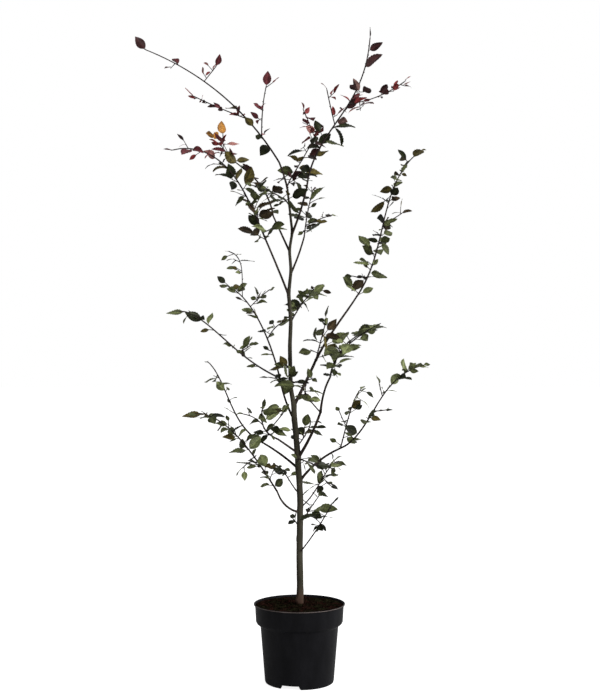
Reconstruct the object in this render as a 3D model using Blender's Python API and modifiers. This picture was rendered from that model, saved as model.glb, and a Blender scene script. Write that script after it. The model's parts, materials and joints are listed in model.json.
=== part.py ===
"""Potted copper beech: a slender sapling, about two metres tall, in a black nursery pot.

Metres, Z up. The origin is the centre of the pot's flat underside, and the front of
the plant looks along -Y. The trunk and the main boughs are tapering limbs. Each
foliage mass is one shoot with its side twigs and leaves fused on, and every limb
begins a hair's breadth clear of what carries it.
"""

import math
import random
from dataclasses import dataclass

import bmesh
import bpy
import numpy as np
from mathutils import Matrix, Vector

UP = Vector((0, 0, 1))
CLEARANCE = 0.0003

# Pot, as outer radii and heights
POT_HEIGHT = 0.241
RIM_RADIUS = 0.140
LIP_DROP = 0.0035
COLLAR_TOP_RADIUS = 0.1362
COLLAR_BOTTOM_RADIUS = 0.1335
COLLAR_BOTTOM = 0.187
SHOULDER_BOTTOM = 0.170
BODY_TOP_RADIUS = 0.1195
BODY_BOTTOM_RADIUS = 0.1060
FOOT_RADIUS = 0.1015
FOOT_WIDTH = 0.007
FOOT_CORNER = 0.006
WALL = 0.0018
CHANNEL_HEIGHT = 0.0125
PAD_RADIUS = 0.062
POT_STEPS = 36

# Drainage notches round the foot
NOTCHES = 3
NOTCH_TOP_WIDTH = 0.053
NOTCH_FOOT_WIDTH = 0.064
NOTCH_HEIGHT = 0.0118
NOTCH_DEPTH = 0.036
NOTCH_BEARING = -105.6

# Compost
SOIL_AT_WALL = 0.2340
SOIL_AT_TRUNK = 0.2390
SOIL_CROWN_RADIUS = 0.050
SOIL_STEPS = 28

# Trunk: height, offset to the right, offset backward and radius at each bend
TRUNK_BENDS = (
    (0.2393, 0.0015, 0.000, 0.0106),
    (0.300, 0.0020, 0.001, 0.0101),
    (0.390, 0.0005, 0.003, 0.0096),
    (0.560, 0.0027, 0.002, 0.0091),
    (0.700, -0.0055, -0.002, 0.0090),
    (0.800, -0.0148, -0.002, 0.0085),
    (0.850, -0.0175, 0.001, 0.0078),
    (0.900, -0.0265, 0.003, 0.0064),
    (1.030, -0.0295, 0.004, 0.0059),
    (1.105, -0.0262, 0.002, 0.0057),
    (1.190, -0.0330, -0.003, 0.0055),
    (1.262, -0.0258, -0.005, 0.0046),
    (1.325, -0.0308, -0.003, 0.0043),
    (1.380, -0.0218, 0.000, 0.0039),
    (1.515, -0.0372, 0.003, 0.0032),
)
TRUNK_SIDES = 12
TRUNK_RING_GAP = 0.060
BEND_ROUNDING = 0.012
FLARE = 0.0018
FLARE_HEIGHT = 0.010

BOUGH_SIDES = 6
BOUGH_RING_GAP = 0.030
BUD_GAP = 0.026
TWIG_SIDES = 3
TWIG_TIP_RADIUS = 0.0011
SPUR_RADIUS = 0.0013

# Leaf, as shares of its length
LEAF_HALF_WIDTH = 0.33
LEAF_NARROWING = 0.28
LEAF_THICKNESS = 0.036
LEAF_WIDEST = 0.42
LEAF_KITE = 0.36
LEAF_FOLD = 0.30
LEAF_DROOP = 0.05
LEAF_SINK = 0.0005
LEAF_LENGTHS = (0.042, 0.063)

# How a shoot is dressed, with angles in degrees
SPREAD = (42, 76)
ROLL = 34
DROOP = (-0.32, 0.14)
ERECT = 2.0
ERECT_ABOVE = 1.62
TILT = 0.90
OUTWARD = 0.55
SPUR_LENGTHS = (0.012, 0.046)
SPUR_LEAVES = (2, 4)
TIP_SINK = 0.08
TIP_LEAF = 0.72
BUD_SHIFT = 0.4
SAMPLE_GAP = 0.006
GAP_TO_LIMBS = 0.0052
GAP_TO_OTHER_LEAVES = 0.0075
GAP_TO_OWN_LEAVES = 0.0040


@dataclass
class Limb:
    """How a limb leaves its parent and bends on its way, with angles in degrees."""

    name: str
    parent: str
    height: float
    azimuth: float
    turn: float
    pitch: float
    curl: float
    arch: float
    length: float
    radii: tuple


@dataclass
class Side:
    """An offshoot: its share along the shoot, and how it leaves and bends."""

    share: float
    azimuth: float
    turn: float
    pitch: float
    curl: float
    length: float


@dataclass
class Shoot(Limb):
    """A leafy shoot: its seed, the shares of its buds with spurs and with leaves, and its bare share."""

    seed: int
    spurs: float
    leaves: float
    bare: float = 0.0
    tint: str = "green"
    sides: tuple = ()


@dataclass
class Leaf:
    """One leaf, by where it is rooted, where it points, which way its face looks and its length."""

    root: Vector
    direction: Vector
    face: Vector
    length: float
    spray: int


# A limb whose height is zero starts at its parent's tip, and the others at that height on the trunk.
# Columns: name, parent, height, azimuth, turn, pitch, curl, arch, length, radii at foot and tip
BOUGHS = (
    Limb("bough_low_left", "trunk", 0.519, -147, 11, 11, 55, 0, 0.117, (0.0034, 0.0026)),
    Limb("bough_mid_left", "trunk", 0.653, 139, 3, 32, -10, 0, 0.158, (0.0037, 0.0028)),
    Limb("bough_near_left", "trunk", 0.702, -123, -1, 25, -1, 0, 0.116, (0.0034, 0.0027)),
    Limb("bough_high_left", "trunk", 0.800, 136, -9, 52, 20, 0, 0.149, (0.0034, 0.0027)),
    Limb("bough_upper_left", "trunk", 1.184, -138, -1, 62, -2, 0, 0.177, (0.0034, 0.0027)),
    Limb("bough_far_left", "trunk", 1.319, 126, 0, 53, 0, 0, 0.148, (0.0031, 0.0025)),
    Limb("bough_top_left", "trunk_tip", 0, 143, 2, 73, -8, 0, 0.088, (0.0029, 0.0026)),
    Limb("bough_upper_right", "trunk", 1.374, -52, -9, 53, 12, 0, 0.161, (0.0035, 0.0027)),
    Limb("bough_far_right", "trunk", 1.251, 67, 6, 42, 7, 0, 0.174, (0.0031, 0.0025)),
    Limb("bough_high_right", "trunk", 0.846, 23, 1, 60, 4, 0, 0.157, (0.0050, 0.0039)),
    Limb("bough_high_right_end", "bough_high_right", 0, 1, 57, 64, -25, 0, 0.256, (0.0036, 0.0027)),
    Limb("bough_mid_right", "trunk", 0.686, -43, -5, 49, 14, 0, 0.174, (0.0047, 0.0037)),
    Limb("bough_mid_right_end", "bough_mid_right", 0, -79, 14, 64, -25, 0, 0.139, (0.0034, 0.0027)),
    Limb("bough_low_right", "trunk", 0.613, -8, -1, 55, -31, 0, 0.167, (0.0040, 0.0028)),
)

THICK = (0.0026, TWIG_TIP_RADIUS)
THIN = (0.0020, TWIG_TIP_RADIUS)

# Columns as above, then the seed and the shares of buds with a spur and with a leaf
SHOOTS = (
    Shoot("leaves_low_left", "bough_low_left", 0, -180, 60, 58, -57, 16, 0.399, THICK,
          5, 0.5, 0.4, sides=(Side(0.27, -147, 4, 22, -72, 0.060),)),
    Shoot("leaves_low_left_twig", "trunk", 0.574, 116, -2, 17, -11, 18, 0.192, THIN,
          98, 0.05, 0.12, bare=0.5),
    Shoot("leaves_mid_left", "bough_mid_left", 0, 159, -49, 22, -15, 42, 0.396, THICK,
          52, 0.05, 0.12),
    Shoot("leaves_near_left", "bough_near_left", 0, -121, 42, 15, 23, 0, 0.245, THICK,
          101, 0.1, 0.4, sides=(Side(0.33, -40, -2, 39, 8, 0.103), Side(0.56, 150, 6, 44, -38, 0.075))),
    Shoot("leaves_high_left_back", "bough_high_left", 0, 143, -21, 73, -67, 9, 0.449, THICK,
          35, 0.05, 0.12,
          sides=(Side(0.71, 79, 60, 110, -96, 0.192), Side(0.59, 42, -1, 40, -9, 0.095),
                 Side(0.29, -46, 8, 55, -37, 0.095))),
    Shoot("leaves_high_left_front", "bough_high_left", 0, -165, 60, 24, -29, 24, 0.479, THICK,
          31, 0.05, 0.12, sides=(Side(0.33, 35, 5, 18, 17, 0.055),)),
    Shoot("leaves_upper_left", "bough_upper_left", 0, -117, -45, 47, -64, 32, 0.458, THICK,
          94, 0.5, 0.4, tint="olive"),
    Shoot("leaves_far_left", "bough_far_left", 0, 149, -37, 80, -42, -27, 0.397, THICK,
          74, 0.2, 0.5, tint="olive", sides=(Side(0.94, 200, -20, 84, 6, 0.050),)),
    Shoot("leaves_upper_front", "trunk", 1.460, -94, -43, 8, 0, 0, 0.255, THIN,
          23, 0.2, 0.5, bare=0.25, tint="olive"),
    Shoot("leaves_top_left", "bough_top_left", 0, 149, 40, 56, -36, 3, 0.578, THICK,
          33, 0.05, 0.12, tint="maroon",
          sides=(Side(0.18, -89, 29, 78, -16, 0.157), Side(0.32, 159, 3, 22, 5, 0.200),
                 Side(0.64, 35, 5, 50, 0, 0.070))),
    Shoot("leaves_top_middle", "trunk_tip", 0, 93, -60, 17, 48, 0, 0.340, THIN,
          49, 0.7, 0.25, bare=0.2, tint="maroon", sides=(Side(0.92, 136, 2, 66, -6, 0.105),)),
    Shoot("leaves_upper_right", "bough_upper_right", 0, -12, -60, 84, -8, -35, 0.489, THICK,
          54, 0.2, 0.5, tint="maroon",
          sides=(Side(0.58, 35, -37, 10, 26, 0.197), Side(0.42, -123, 3, 62, 4, 0.106))),
    Shoot("leaves_far_right", "bough_far_right", 0, 83, -7, 50, -7, 0, 0.234, THIN,
          62, 0.05, 0.12, tint="olive", sides=(Side(0.22, 26, 0, 27, -10, 0.099),)),
    Shoot("leaves_back_right", "trunk", 1.101, 70, -6, 37, -19, 0, 0.268, THIN,
          65, 0.35, 0.35, bare=0.2),
    Shoot("leaves_high_right", "bough_high_right_end", 0, 30, 3, 51, -18, 32, 0.554, THICK,
          38, 0.7, 0.25, tint="olive",
          sides=(Side(0.48, 26, -1, 20, 15, 0.078), Side(0.14, 148, 0, -5, 21, 0.057))),
    Shoot("leaves_high_right_side", "bough_high_right", 0, -81, 0, 33, 0, 0, 0.194, THIN,
          99, 0.7, 0.25),
    Shoot("leaves_mid_right", "bough_mid_right_end", 0, -86, 60, 39, -14, 0, 0.289, THICK,
          14, 0.2, 0.5, sides=(Side(0.36, 62, -60, 47, -23, 0.128),)),
    Shoot("leaves_mid_right_side", "bough_mid_right", 0, -131, 36, 36, -12, 0, 0.166, THIN,
          106, 0.05, 0.12, bare=0.3, sides=(Side(0.67, -102, 60, 89, -91, 0.073),)),
    Shoot("leaves_low_right", "bough_low_right", 0, -58, 60, 15, -2, 43, 0.396, THICK,
          71, 0.1, 0.4, sides=(Side(0.47, 37, 1, -2, 8, 0.050), Side(0.60, 120, 0, 66, 0, 0.040))),
    Shoot("leaves_low_right_back", "bough_low_right", 0, 66, 4, 54, -40, 13, 0.265, THIN,
          45, 0.05, 0.12, sides=(Side(0.30, 126, -3, 50, 4, 0.059),)),
    Shoot("leaves_foot_back", "trunk", 0.533, 50, 18, 22, -24, 27, 0.278, THIN,
          60, 0.35, 0.35, bare=0.3, sides=(Side(0.55, 43, -8, -54, 23, 0.044),)),
    Shoot("leaves_foot_side", "trunk", 0.481, 67, -1, 27, -3, 0, 0.166, THIN,
          58, 0.35, 0.35, bare=0.4),
    Shoot("leaves_foot_front", "trunk", 0.395, -65, 5, 33, 13, 0, 0.252, THIN,
          88, 0.05, 0.12, bare=0.45, sides=(Side(0.70, -143, -5, 45, -33, 0.061),)),
    Shoot("leaves_middle_back", "trunk", 0.720, 54, 35, 36, -18, 0, 0.160, THIN,
          47, 0.5, 0.4, bare=0.3),
    Shoot("leaves_middle_front", "trunk", 0.674, -96, 49, 18, -35, 0, 0.188, THIN,
          16, 0.05, 0.12, bare=0.3),
    Shoot("leaves_trunk_front", "trunk", 0.911, -89, -4, 9, -1, 0, 0.154, THIN,
          78, 0.05, 0.12, bare=0.25, sides=(Side(0.33, -156, 2, 18, -9, 0.072),)),
    Shoot("leaves_trunk_tuft", "trunk", 0.960, -102, -3, 14, -4, 0, 0.077, THIN,
          56, 0.5, 0.4, bare=0.3),
    Shoot("leaves_foot_tuft", "trunk", 0.475, 106, -1, 9, 1, 0, 0.082, THIN,
          1, 0.05, 0.12, bare=0.4),
)


def trunk_at(height):
    """Centre and radius of the trunk at a height, with its bends a little rounded."""
    bends = np.array(TRUNK_BENDS)
    right, back, radius = (
        np.mean([np.interp(height + shift, bends[:, 0], bends[:, column])
                 for shift in (-BEND_ROUNDING, 0, BEND_ROUNDING)])
        for column in (1, 2, 3))
    flare = FLARE * math.exp(-(height - bends[0, 0]) / FLARE_HEIGHT)
    return Vector((right, back, height)), radius + flare


def trunk_path():
    """Ring centres and radii of the trunk, close together in the root flare."""
    foot, tip = TRUNK_BENDS[0][0], TRUNK_BENDS[-1][0]
    low = [foot + step for step in (0, 0.006, 0.014, 0.028)]
    rings = round((tip - low[-1]) / TRUNK_RING_GAP)
    heights = low + [low[-1] + (tip - low[-1]) * ring / rings for ring in range(1, rings + 1)]
    centres, radii = zip(*(trunk_at(height) for height in heights))
    return list(centres), list(radii)


def grow(foot, azimuth, turn, pitch, curl, arch, length, gap):
    """Points of a limb from its foot, about a gap apart, as it turns, curls and arches."""
    steps = max(2, round(length / gap))
    points = [Vector(foot)]
    for step in range(steps):
        share = (step + 0.5) / steps
        heading = math.radians(azimuth + turn * share)
        rise = math.radians(pitch + curl * share + arch * math.sin(math.pi * share))
        level = Vector((math.cos(heading), math.sin(heading), 0)) * math.cos(rise)
        points.append(points[-1] + (level + UP * math.sin(rise)) * length / steps)
    return points


def taper(points, radii):
    """An even taper from the foot's radius to the tip's."""
    return [radii[0] + (radii[1] - radii[0]) * step / (len(points) - 1) for step in range(len(points))]


def grow_limbs():
    """Path and radii of the trunk, every bough and every shoot's main stem, by name."""
    limbs = {"trunk": trunk_path()}
    for limb in BOUGHS + SHOOTS:
        if limb.height:
            foot = trunk_at(limb.height)[0]
        else:
            foot = limbs["trunk" if limb.parent == "trunk_tip" else limb.parent][0][-1]
        gap = BUD_GAP if isinstance(limb, Shoot) else BOUGH_RING_GAP
        points = grow(foot, limb.azimuth, limb.turn, limb.pitch, limb.curl, limb.arch, limb.length, gap)
        limbs[limb.name] = (points, taper(points, limb.radii))
    return limbs


def grow_offshoots(shoot, stem):
    """Paths of the long side shoots that leave a shoot's main stem."""
    points, radii = stem
    paths = []
    for side in shoot.sides:
        joint = round(side.share * (len(points) - 1))
        path = grow(points[joint], side.azimuth, side.turn, side.pitch, side.curl, 0, side.length, BUD_GAP)
        paths.append((path, taper(path, (radii[joint] * 0.8, TWIG_TIP_RADIUS))))
    return paths


def samples_along(points, radii):
    """Points with radii, close enough together to test how near something passes."""
    rows = []
    for foot, tip, foot_radius, tip_radius in zip(points, points[1:], radii, radii[1:]):
        steps = max(1, math.ceil((tip - foot).length / SAMPLE_GAP))
        for step in range(steps):
            share = step / steps
            rows.append((*foot.lerp(tip, share), foot_radius + (tip_radius - foot_radius) * share))
    rows.append((*points[-1], radii[-1]))
    return np.array(rows)


def leaf_width(along):
    """Half the leaf's width at a share of its length, as a share of its length."""
    bend = 2 * along - 1
    return math.sqrt(max(0.0, 1 - bend * bend)) * LEAF_HALF_WIDTH * (1 - LEAF_NARROWING * bend)


def leaf_samples(leaf):
    """Points over a leaf's blade, with no radius."""
    across = leaf.face.cross(leaf.direction)
    rows = []
    for along in (0.18, 0.38, 0.58, 0.79, 1.0):
        for side in (-0.95, -0.45, 0, 0.45, 0.95):
            spot = leaf.direction * along + across * leaf_width(along) * side
            rows.append((*(leaf.root + spot * leaf.length), 0.0))
    return np.array(rows)


def is_clear(samples, others, gap):
    """Whether every sample stays a gap away from the surface of all the others."""
    if not len(others):
        return True
    spans = np.linalg.norm(samples[:, None, :3] - others[None, :, :3], axis=2)
    return bool((spans > samples[:, None, 3] + others[None, :, 3] + gap).all())


def side_way(forward, side, spread, roll):
    """A direction that leaves forward sideways by the spread, rolled about forward."""
    across = forward.cross(UP)
    if across.length < 0.05:
        across = forward.cross(Vector((0, 1, 0)))
    across = Matrix.Rotation(math.radians(roll), 3, forward) @ across.normalized()
    return forward * math.cos(spread) + across * side * math.sin(spread)


def draw_leaf(dice, root, forward, side, spray):
    """A leaf on a twig: to the side of it, or straight on where side is zero, and nearly level."""
    spread = math.radians(dice.uniform(*SPREAD)) if side else math.radians(dice.uniform(0, 20))
    direction = side_way(forward, side or 1, spread, dice.gauss(0, ROLL))
    direction.z = direction.z * 0.8 + dice.uniform(*DROOP) + ERECT * max(0, root.z - ERECT_ABOVE)
    direction.normalize()
    outward = Vector((root.x, root.y, 0)).normalized()
    lean = UP + outward * OUTWARD + Vector((dice.gauss(0, TILT), dice.gauss(0, TILT), 0))
    face = (lean - direction * lean.dot(direction)).normalized()
    return Leaf(root, direction, face, dice.uniform(*LEAF_LENGTHS), spray)


def draw_spur(dice, root, forward, side, spray):
    """A short side twig and its leaves, the last of them at its tip."""
    way = side_way(forward, side, math.radians(dice.uniform(*SPREAD)), dice.gauss(0, ROLL))
    way.z = way.z * 0.8 + dice.uniform(0.0, 0.2)
    way.normalize()
    length = dice.uniform(*SPUR_LENGTHS)
    count = dice.randint(*SPUR_LEAVES)
    leaves = []
    for number in range(count):
        last = number == count - 1
        spot = root + way * length * (1 - TIP_SINK if last else 0.35 + 0.5 * number / count)
        leaves.append(draw_leaf(dice, spot, way, 0 if last else side * (-1) ** number, spray))
    return [root, root + way * length], leaves


def dress(shoot, stems, limbs_near, leaves_near):
    """Spurs and leaves of one mass. Whatever would touch something else is left out."""
    dice = random.Random(shoot.seed)
    spurs, leaves, own = [], [], []

    def keep(leaf):
        samples = leaf_samples(leaf)
        free = (is_clear(samples, limbs_near, GAP_TO_LIMBS)
                and is_clear(samples, leaves_near, GAP_TO_OTHER_LEAVES)
                and all(is_clear(samples, other, GAP_TO_OWN_LEAVES) for other in own))
        if free:
            own.append(samples)
            leaves.append(leaf)
        return free

    spray = 0
    for points, radii in stems:
        side = dice.choice((-1, 1))
        for joint in range(1, len(points)):
            side = -side
            spray += 1
            forward = (points[joint] - points[joint - 1]).normalized()
            share = joint / (len(points) - 1)
            last = joint == len(points) - 1
            root = points[joint].lerp(points[joint - 1], TIP_SINK if last else BUD_SHIFT)
            roll = dice.random()
            spur, spur_leaves = draw_spur(dice, root, forward, side, spray)
            leaf = draw_leaf(dice, root, forward, 0 if last else side, spray)
            if last:
                leaf.length *= TIP_LEAF
                keep(leaf)
            elif share > shoot.bare and roll < shoot.spurs:
                twig = samples_along(spur, (SPUR_RADIUS, SPUR_RADIUS))
                if is_clear(twig, limbs_near, GAP_TO_LIMBS) and is_clear(twig, leaves_near, GAP_TO_LIMBS):
                    if sum([keep(extra) for extra in spur_leaves]):
                        spurs.append(spur)
            elif share > shoot.bare and roll < shoot.spurs + shoot.leaves:
                keep(leaf)
    return spurs, leaves


def near_to(rows, path, reach):
    """The rows that lie within reach of the box round a path."""
    corners = np.array([tuple(point) for point in path])
    low, high = corners.min(axis=0) - reach, corners.max(axis=0) + reach
    return rows[((rows[:, :3] > low) & (rows[:, :3] < high)).all(axis=1)]


def plan_plant():
    """Every limb's path, and every mass's stems, spurs and leaves."""
    limbs = grow_limbs()
    stems = {shoot.name: [limbs[shoot.name]] + grow_offshoots(shoot, limbs[shoot.name])
             for shoot in SHOOTS}
    solid = {limb.name: samples_along(*limbs[limb.name]) for limb in BOUGHS}
    solid["trunk"] = samples_along(*limbs["trunk"])
    for name, paths in stems.items():
        solid[name] = np.concatenate([samples_along(*path) for path in paths])
    masses = {}
    blades = np.zeros((0, 4))
    for shoot in SHOOTS:
        path = [point for points, radii in stems[shoot.name] for point in points]
        others = np.concatenate([rows for name, rows in solid.items() if name != shoot.name])
        spurs, leaves = dress(shoot, stems[shoot.name], near_to(others, path, 0.12),
                              near_to(blades, path, 0.12))
        masses[shoot.name] = (stems[shoot.name], spurs, leaves)
        twigs = [samples_along(spur, (SPUR_RADIUS, SPUR_RADIUS)) for spur in spurs]
        blades = np.concatenate([blades] + twigs + [leaf_samples(leaf) for leaf in leaves])
    return limbs, masses


def clear_scene():
    """Remove the objects that a new file starts with."""
    for thing in list(bpy.data.objects):
        bpy.data.objects.remove(thing, do_unlink=True)


def new_collection(name):
    """A collection linked to the scene."""
    group = bpy.data.collections.new(name)
    bpy.context.scene.collection.children.link(group)
    return group


def new_material(name, color, roughness):
    """A plain Principled material."""
    material = bpy.data.materials.new(name)
    material.use_nodes = True
    shader = material.node_tree.nodes["Principled BSDF"]
    shader.inputs["Base Color"].default_value = (*color, 1)
    shader.inputs["Roughness"].default_value = roughness
    shader.inputs["Metallic"].default_value = 0
    material.diffuse_color = (*color, 1)
    return material


def add_object(name, data, group):
    """An object in a collection."""
    thing = bpy.data.objects.new(name, data)
    group.objects.link(thing)
    return thing


def as_mesh(thing):
    """The evaluated mesh of an object, with its modifiers in it, and loose ends welded."""
    bpy.context.view_layer.update()
    evaluated = thing.evaluated_get(bpy.context.evaluated_depsgraph_get())
    mesh = bpy.data.meshes.new_from_object(evaluated)
    shape = bmesh.new()
    shape.from_mesh(mesh)
    bmesh.ops.remove_doubles(shape, verts=shape.verts, dist=1e-6)
    bmesh.ops.recalc_face_normals(shape, faces=shape.faces)
    shape.to_mesh(mesh)
    shape.free()
    return mesh


def remove(thing):
    """Remove an object with its curve or mesh."""
    data = thing.data
    bpy.data.objects.remove(thing, do_unlink=True)
    if isinstance(data, bpy.types.Curve):
        bpy.data.curves.remove(data)
    elif not data.users:
        bpy.data.meshes.remove(data)


def ring_profile(sides, group):
    """A regular polygon of radius one, as the cross-section of tubes."""
    curve = bpy.data.curves.new("ring_%d" % sides, "CURVE")
    curve.dimensions = "2D"
    spline = curve.splines.new("POLY")
    spline.points.add(sides - 1)
    for corner, point in enumerate(spline.points):
        angle = 2 * math.pi * corner / sides
        point.co = (math.cos(angle), math.sin(angle), 0, 1)
    spline.use_cyclic_u = True
    ring = add_object("ring_%d" % sides, curve, group)
    ring.hide_render = True
    ring.display_type = "WIRE"
    return ring


def tube(name, points, radii, ring, group):
    """A tapering tube with closed ends, as a mesh object."""
    curve = bpy.data.curves.new(name, "CURVE")
    curve.dimensions = "3D"
    curve.twist_mode = "MINIMUM"
    curve.bevel_mode = "OBJECT"
    curve.bevel_object = ring
    curve.use_fill_caps = True
    spline = curve.splines.new("POLY")
    spline.points.add(len(points) - 1)
    for point, place, radius in zip(spline.points, points, radii):
        point.co = (*place, 1)
        point.radius = radius
    spline_object = add_object(name + "_curve", curve, group)
    mesh = as_mesh(spline_object)
    remove(spline_object)
    return add_object(name, mesh, group)


def widened(name, points, radii, sides, rings, group):
    """A copy of a limb that is wider and longer by the clearance, to cut its neighbours with."""
    extra = CLEARANCE / math.cos(math.pi / sides)
    end = points[-1] + (points[-1] - points[-2]).normalized() * CLEARANCE
    return tube(name + "_cutter", points[:-1] + [end], [radius + extra for radius in radii],
                rings[sides], group)


def boolean(thing, operation, other, solver="EXACT"):
    """Join an object with, or cut it by, another object or a whole collection."""
    modifier = thing.modifiers.new(operation.title(), "BOOLEAN")
    modifier.operation = operation
    modifier.solver = solver
    if isinstance(other, bpy.types.Collection):
        modifier.operand_type = "COLLECTION"
        modifier.collection = other
    else:
        modifier.object = other
    result = as_mesh(thing)
    thing.modifiers.clear()
    old = thing.data
    thing.data = result
    if not old.users:
        bpy.data.meshes.remove(old)


def keep_largest_piece(thing):
    """Drop loose scraps and the walls of sealed hollows."""
    shape = bmesh.new()
    shape.from_mesh(thing.data)
    unseen = set(shape.verts)
    pieces = []
    while unseen:
        front = [unseen.pop()]
        piece = set(front)
        while front:
            vertex = front.pop()
            for edge in vertex.link_edges:
                other = edge.other_vert(vertex)
                if other in unseen:
                    unseen.remove(other)
                    piece.add(other)
                    front.append(other)
        pieces.append(piece)
    pieces.sort(key=len, reverse=True)
    scraps = [vertex for piece in pieces[1:] for vertex in piece]
    bmesh.ops.delete(shape, geom=scraps, context="VERTS")
    shape.to_mesh(thing.data)
    shape.free()


def leaf_form():
    """One leaf of length one along +X, folded upward along its middle, with eight faces."""
    lift = LEAF_FOLD * LEAF_KITE - LEAF_DROOP * LEAF_WIDEST ** 2
    rim = [(0, 0, 0), (LEAF_WIDEST, -LEAF_KITE, lift), (1, 0, -LEAF_DROOP), (LEAF_WIDEST, LEAF_KITE, lift)]
    middle = [(LEAF_WIDEST, 0, LEAF_THICKNESS / 2), (LEAF_WIDEST, 0, -LEAF_THICKNESS / 2)]
    faces = []
    for corner in range(4):
        following = (corner + 1) % 4
        faces += [(corner, following, 4), (following, corner, 5)]
    mesh = bpy.data.meshes.new("leaf_form")
    mesh.from_pydata(rim + middle, [], faces)
    mesh.use_fake_user = True
    return mesh


def place_leaf(name, leaf, form, group):
    """A leaf whose root is sunk past the middle of its twig."""
    across = leaf.face.cross(leaf.direction)
    turned = Matrix((leaf.direction, across, leaf.face)).transposed().to_4x4()
    root = leaf.root - leaf.direction * LEAF_SINK
    thing = add_object(name, form, group)
    thing.matrix_world = Matrix.Translation(root) @ turned @ Matrix.Scale(leaf.length, 4)
    return thing


def place_spur(name, ends, group):
    """A short three-sided side twig that starts at its parent's middle."""
    shape = bmesh.new()
    way = ends[1] - ends[0]
    bmesh.ops.create_cone(shape, cap_ends=True, segments=TWIG_SIDES, radius1=SPUR_RADIUS,
                          radius2=SPUR_RADIUS, depth=way.length)
    mesh = bpy.data.meshes.new(name)
    shape.to_mesh(mesh)
    shape.free()
    spur = add_object(name, mesh, group)
    middle = (ends[0] + ends[1]) / 2
    spur.matrix_world = Matrix.Translation(middle) @ way.to_track_quat("Z", "Y").to_matrix().to_4x4()
    return spur


def neighbours(limb):
    """Names of what a limb's foot has to stay clear of: its parent, and those that share its foot."""
    names = ["trunk" if limb.parent == "trunk_tip" else limb.parent]
    if not limb.height:
        for other in BOUGHS + SHOOTS:
            if other.name == limb.name:
                break
            if other.parent == limb.parent and not other.height:
                names.append(other.name)
    return names


def sides_of(name):
    """How many sides a limb's tube has."""
    if name == "trunk":
        return TRUNK_SIDES
    return BOUGH_SIDES if name.startswith("bough") else TWIG_SIDES


def cut_foot(thing, limb, limbs, rings, bench):
    """Cut a limb's foot so that it meets its neighbours face to face, the clearance apart."""
    for name in neighbours(limb):
        cutter = widened(name, *limbs[name], sides_of(name), rings, bench)
        boolean(thing, "DIFFERENCE", cutter)
        remove(cutter)
    keep_largest_piece(thing)


def build_trunk(limbs, rings, group):
    """The trunk, with its flare, from its flat cut on the compost up to its fork."""
    return tube("trunk", *limbs["trunk"], rings[TRUNK_SIDES], group)


def build_bough(bough, limbs, rings, group, bench):
    """One bare bough."""
    thing = tube(bough.name, *limbs[bough.name], rings[BOUGH_SIDES], group)
    cut_foot(thing, bough, limbs, rings, bench)
    return thing


def build_mass(shoot, limbs, mass, rings, form, group, bench):
    """One foliage mass: its stem, offshoots, spurs and leaves joined into a single solid."""
    stems, spurs, leaves = mass
    thing = tube(shoot.name, *stems[0], rings[TWIG_SIDES], group)
    cut_foot(thing, shoot, limbs, rings, bench)
    joined = new_collection(shoot.name + "_joined")
    for number, path in enumerate(stems[1:]):
        tube("%s_offshoot_%d" % (shoot.name, number), *path, rings[TWIG_SIDES], joined)
    for number, spur in enumerate(spurs):
        place_spur("%s_spur_%d" % (shoot.name, number), spur, joined)
    for number, leaf in enumerate(leaves):
        place_leaf("%s_leaf_%d" % (shoot.name, number), leaf, form, joined)
    boolean(thing, "UNION", joined)
    for piece in list(joined.objects):
        remove(piece)
    bpy.data.collections.remove(joined)
    keep_largest_piece(thing)
    return thing


def turned(name, profile, steps, group):
    """A solid turned about the Z axis from an outline that runs from its top down its outer side."""
    mesh = bpy.data.meshes.new(name)
    edges = [(corner, corner + 1) for corner in range(len(profile) - 1)]
    mesh.from_pydata([(radius, 0, height) for radius, height in profile], edges, [])
    thing = add_object(name, mesh, group)
    screw = thing.modifiers.new("Screw", "SCREW")
    screw.steps = steps
    screw.render_steps = steps
    screw.use_merge_vertices = True
    screw.merge_threshold = 0.00001
    thing.data = as_mesh(thing)
    thing.modifiers.clear()
    bpy.data.meshes.remove(mesh)
    return thing


def pot_outline():
    """The pot's outline: down its outside, across its stepped underside and up its inside."""
    inner_foot = FOOT_RADIUS - FOOT_WIDTH
    floor = CHANNEL_HEIGHT + WALL
    return [
        (RIM_RADIUS - WALL * 1.2, POT_HEIGHT),
        (RIM_RADIUS, POT_HEIGHT - 0.0008),
        (RIM_RADIUS, POT_HEIGHT - LIP_DROP),
        (COLLAR_TOP_RADIUS, POT_HEIGHT - LIP_DROP - 0.0012),
        (COLLAR_BOTTOM_RADIUS, COLLAR_BOTTOM),
        (COLLAR_BOTTOM_RADIUS - 0.003, COLLAR_BOTTOM - 0.006),
        (BODY_TOP_RADIUS + 0.002, SHOULDER_BOTTOM + 0.004),
        (BODY_TOP_RADIUS, SHOULDER_BOTTOM),
        (BODY_BOTTOM_RADIUS, FOOT_CORNER),
        (BODY_BOTTOM_RADIUS - 0.0014, FOOT_CORNER * 0.3),
        (FOOT_RADIUS, 0),
        (inner_foot, 0),
        (inner_foot - 0.001, CHANNEL_HEIGHT),
        (PAD_RADIUS + 0.001, CHANNEL_HEIGHT),
        (PAD_RADIUS, 0),
        (0, 0),
    ], [
        (0, WALL),
        (PAD_RADIUS + 0.001 - WALL, WALL),
        (PAD_RADIUS + 0.001, floor),
        (BODY_BOTTOM_RADIUS - WALL * 2, floor),
        (BODY_TOP_RADIUS - WALL, SHOULDER_BOTTOM),
        (COLLAR_BOTTOM_RADIUS - 0.003 - WALL, COLLAR_BOTTOM - 0.006 + WALL),
        (COLLAR_BOTTOM_RADIUS - WALL, COLLAR_BOTTOM + WALL),
        (RIM_RADIUS - 0.0052, POT_HEIGHT - LIP_DROP),
    ]


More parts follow.
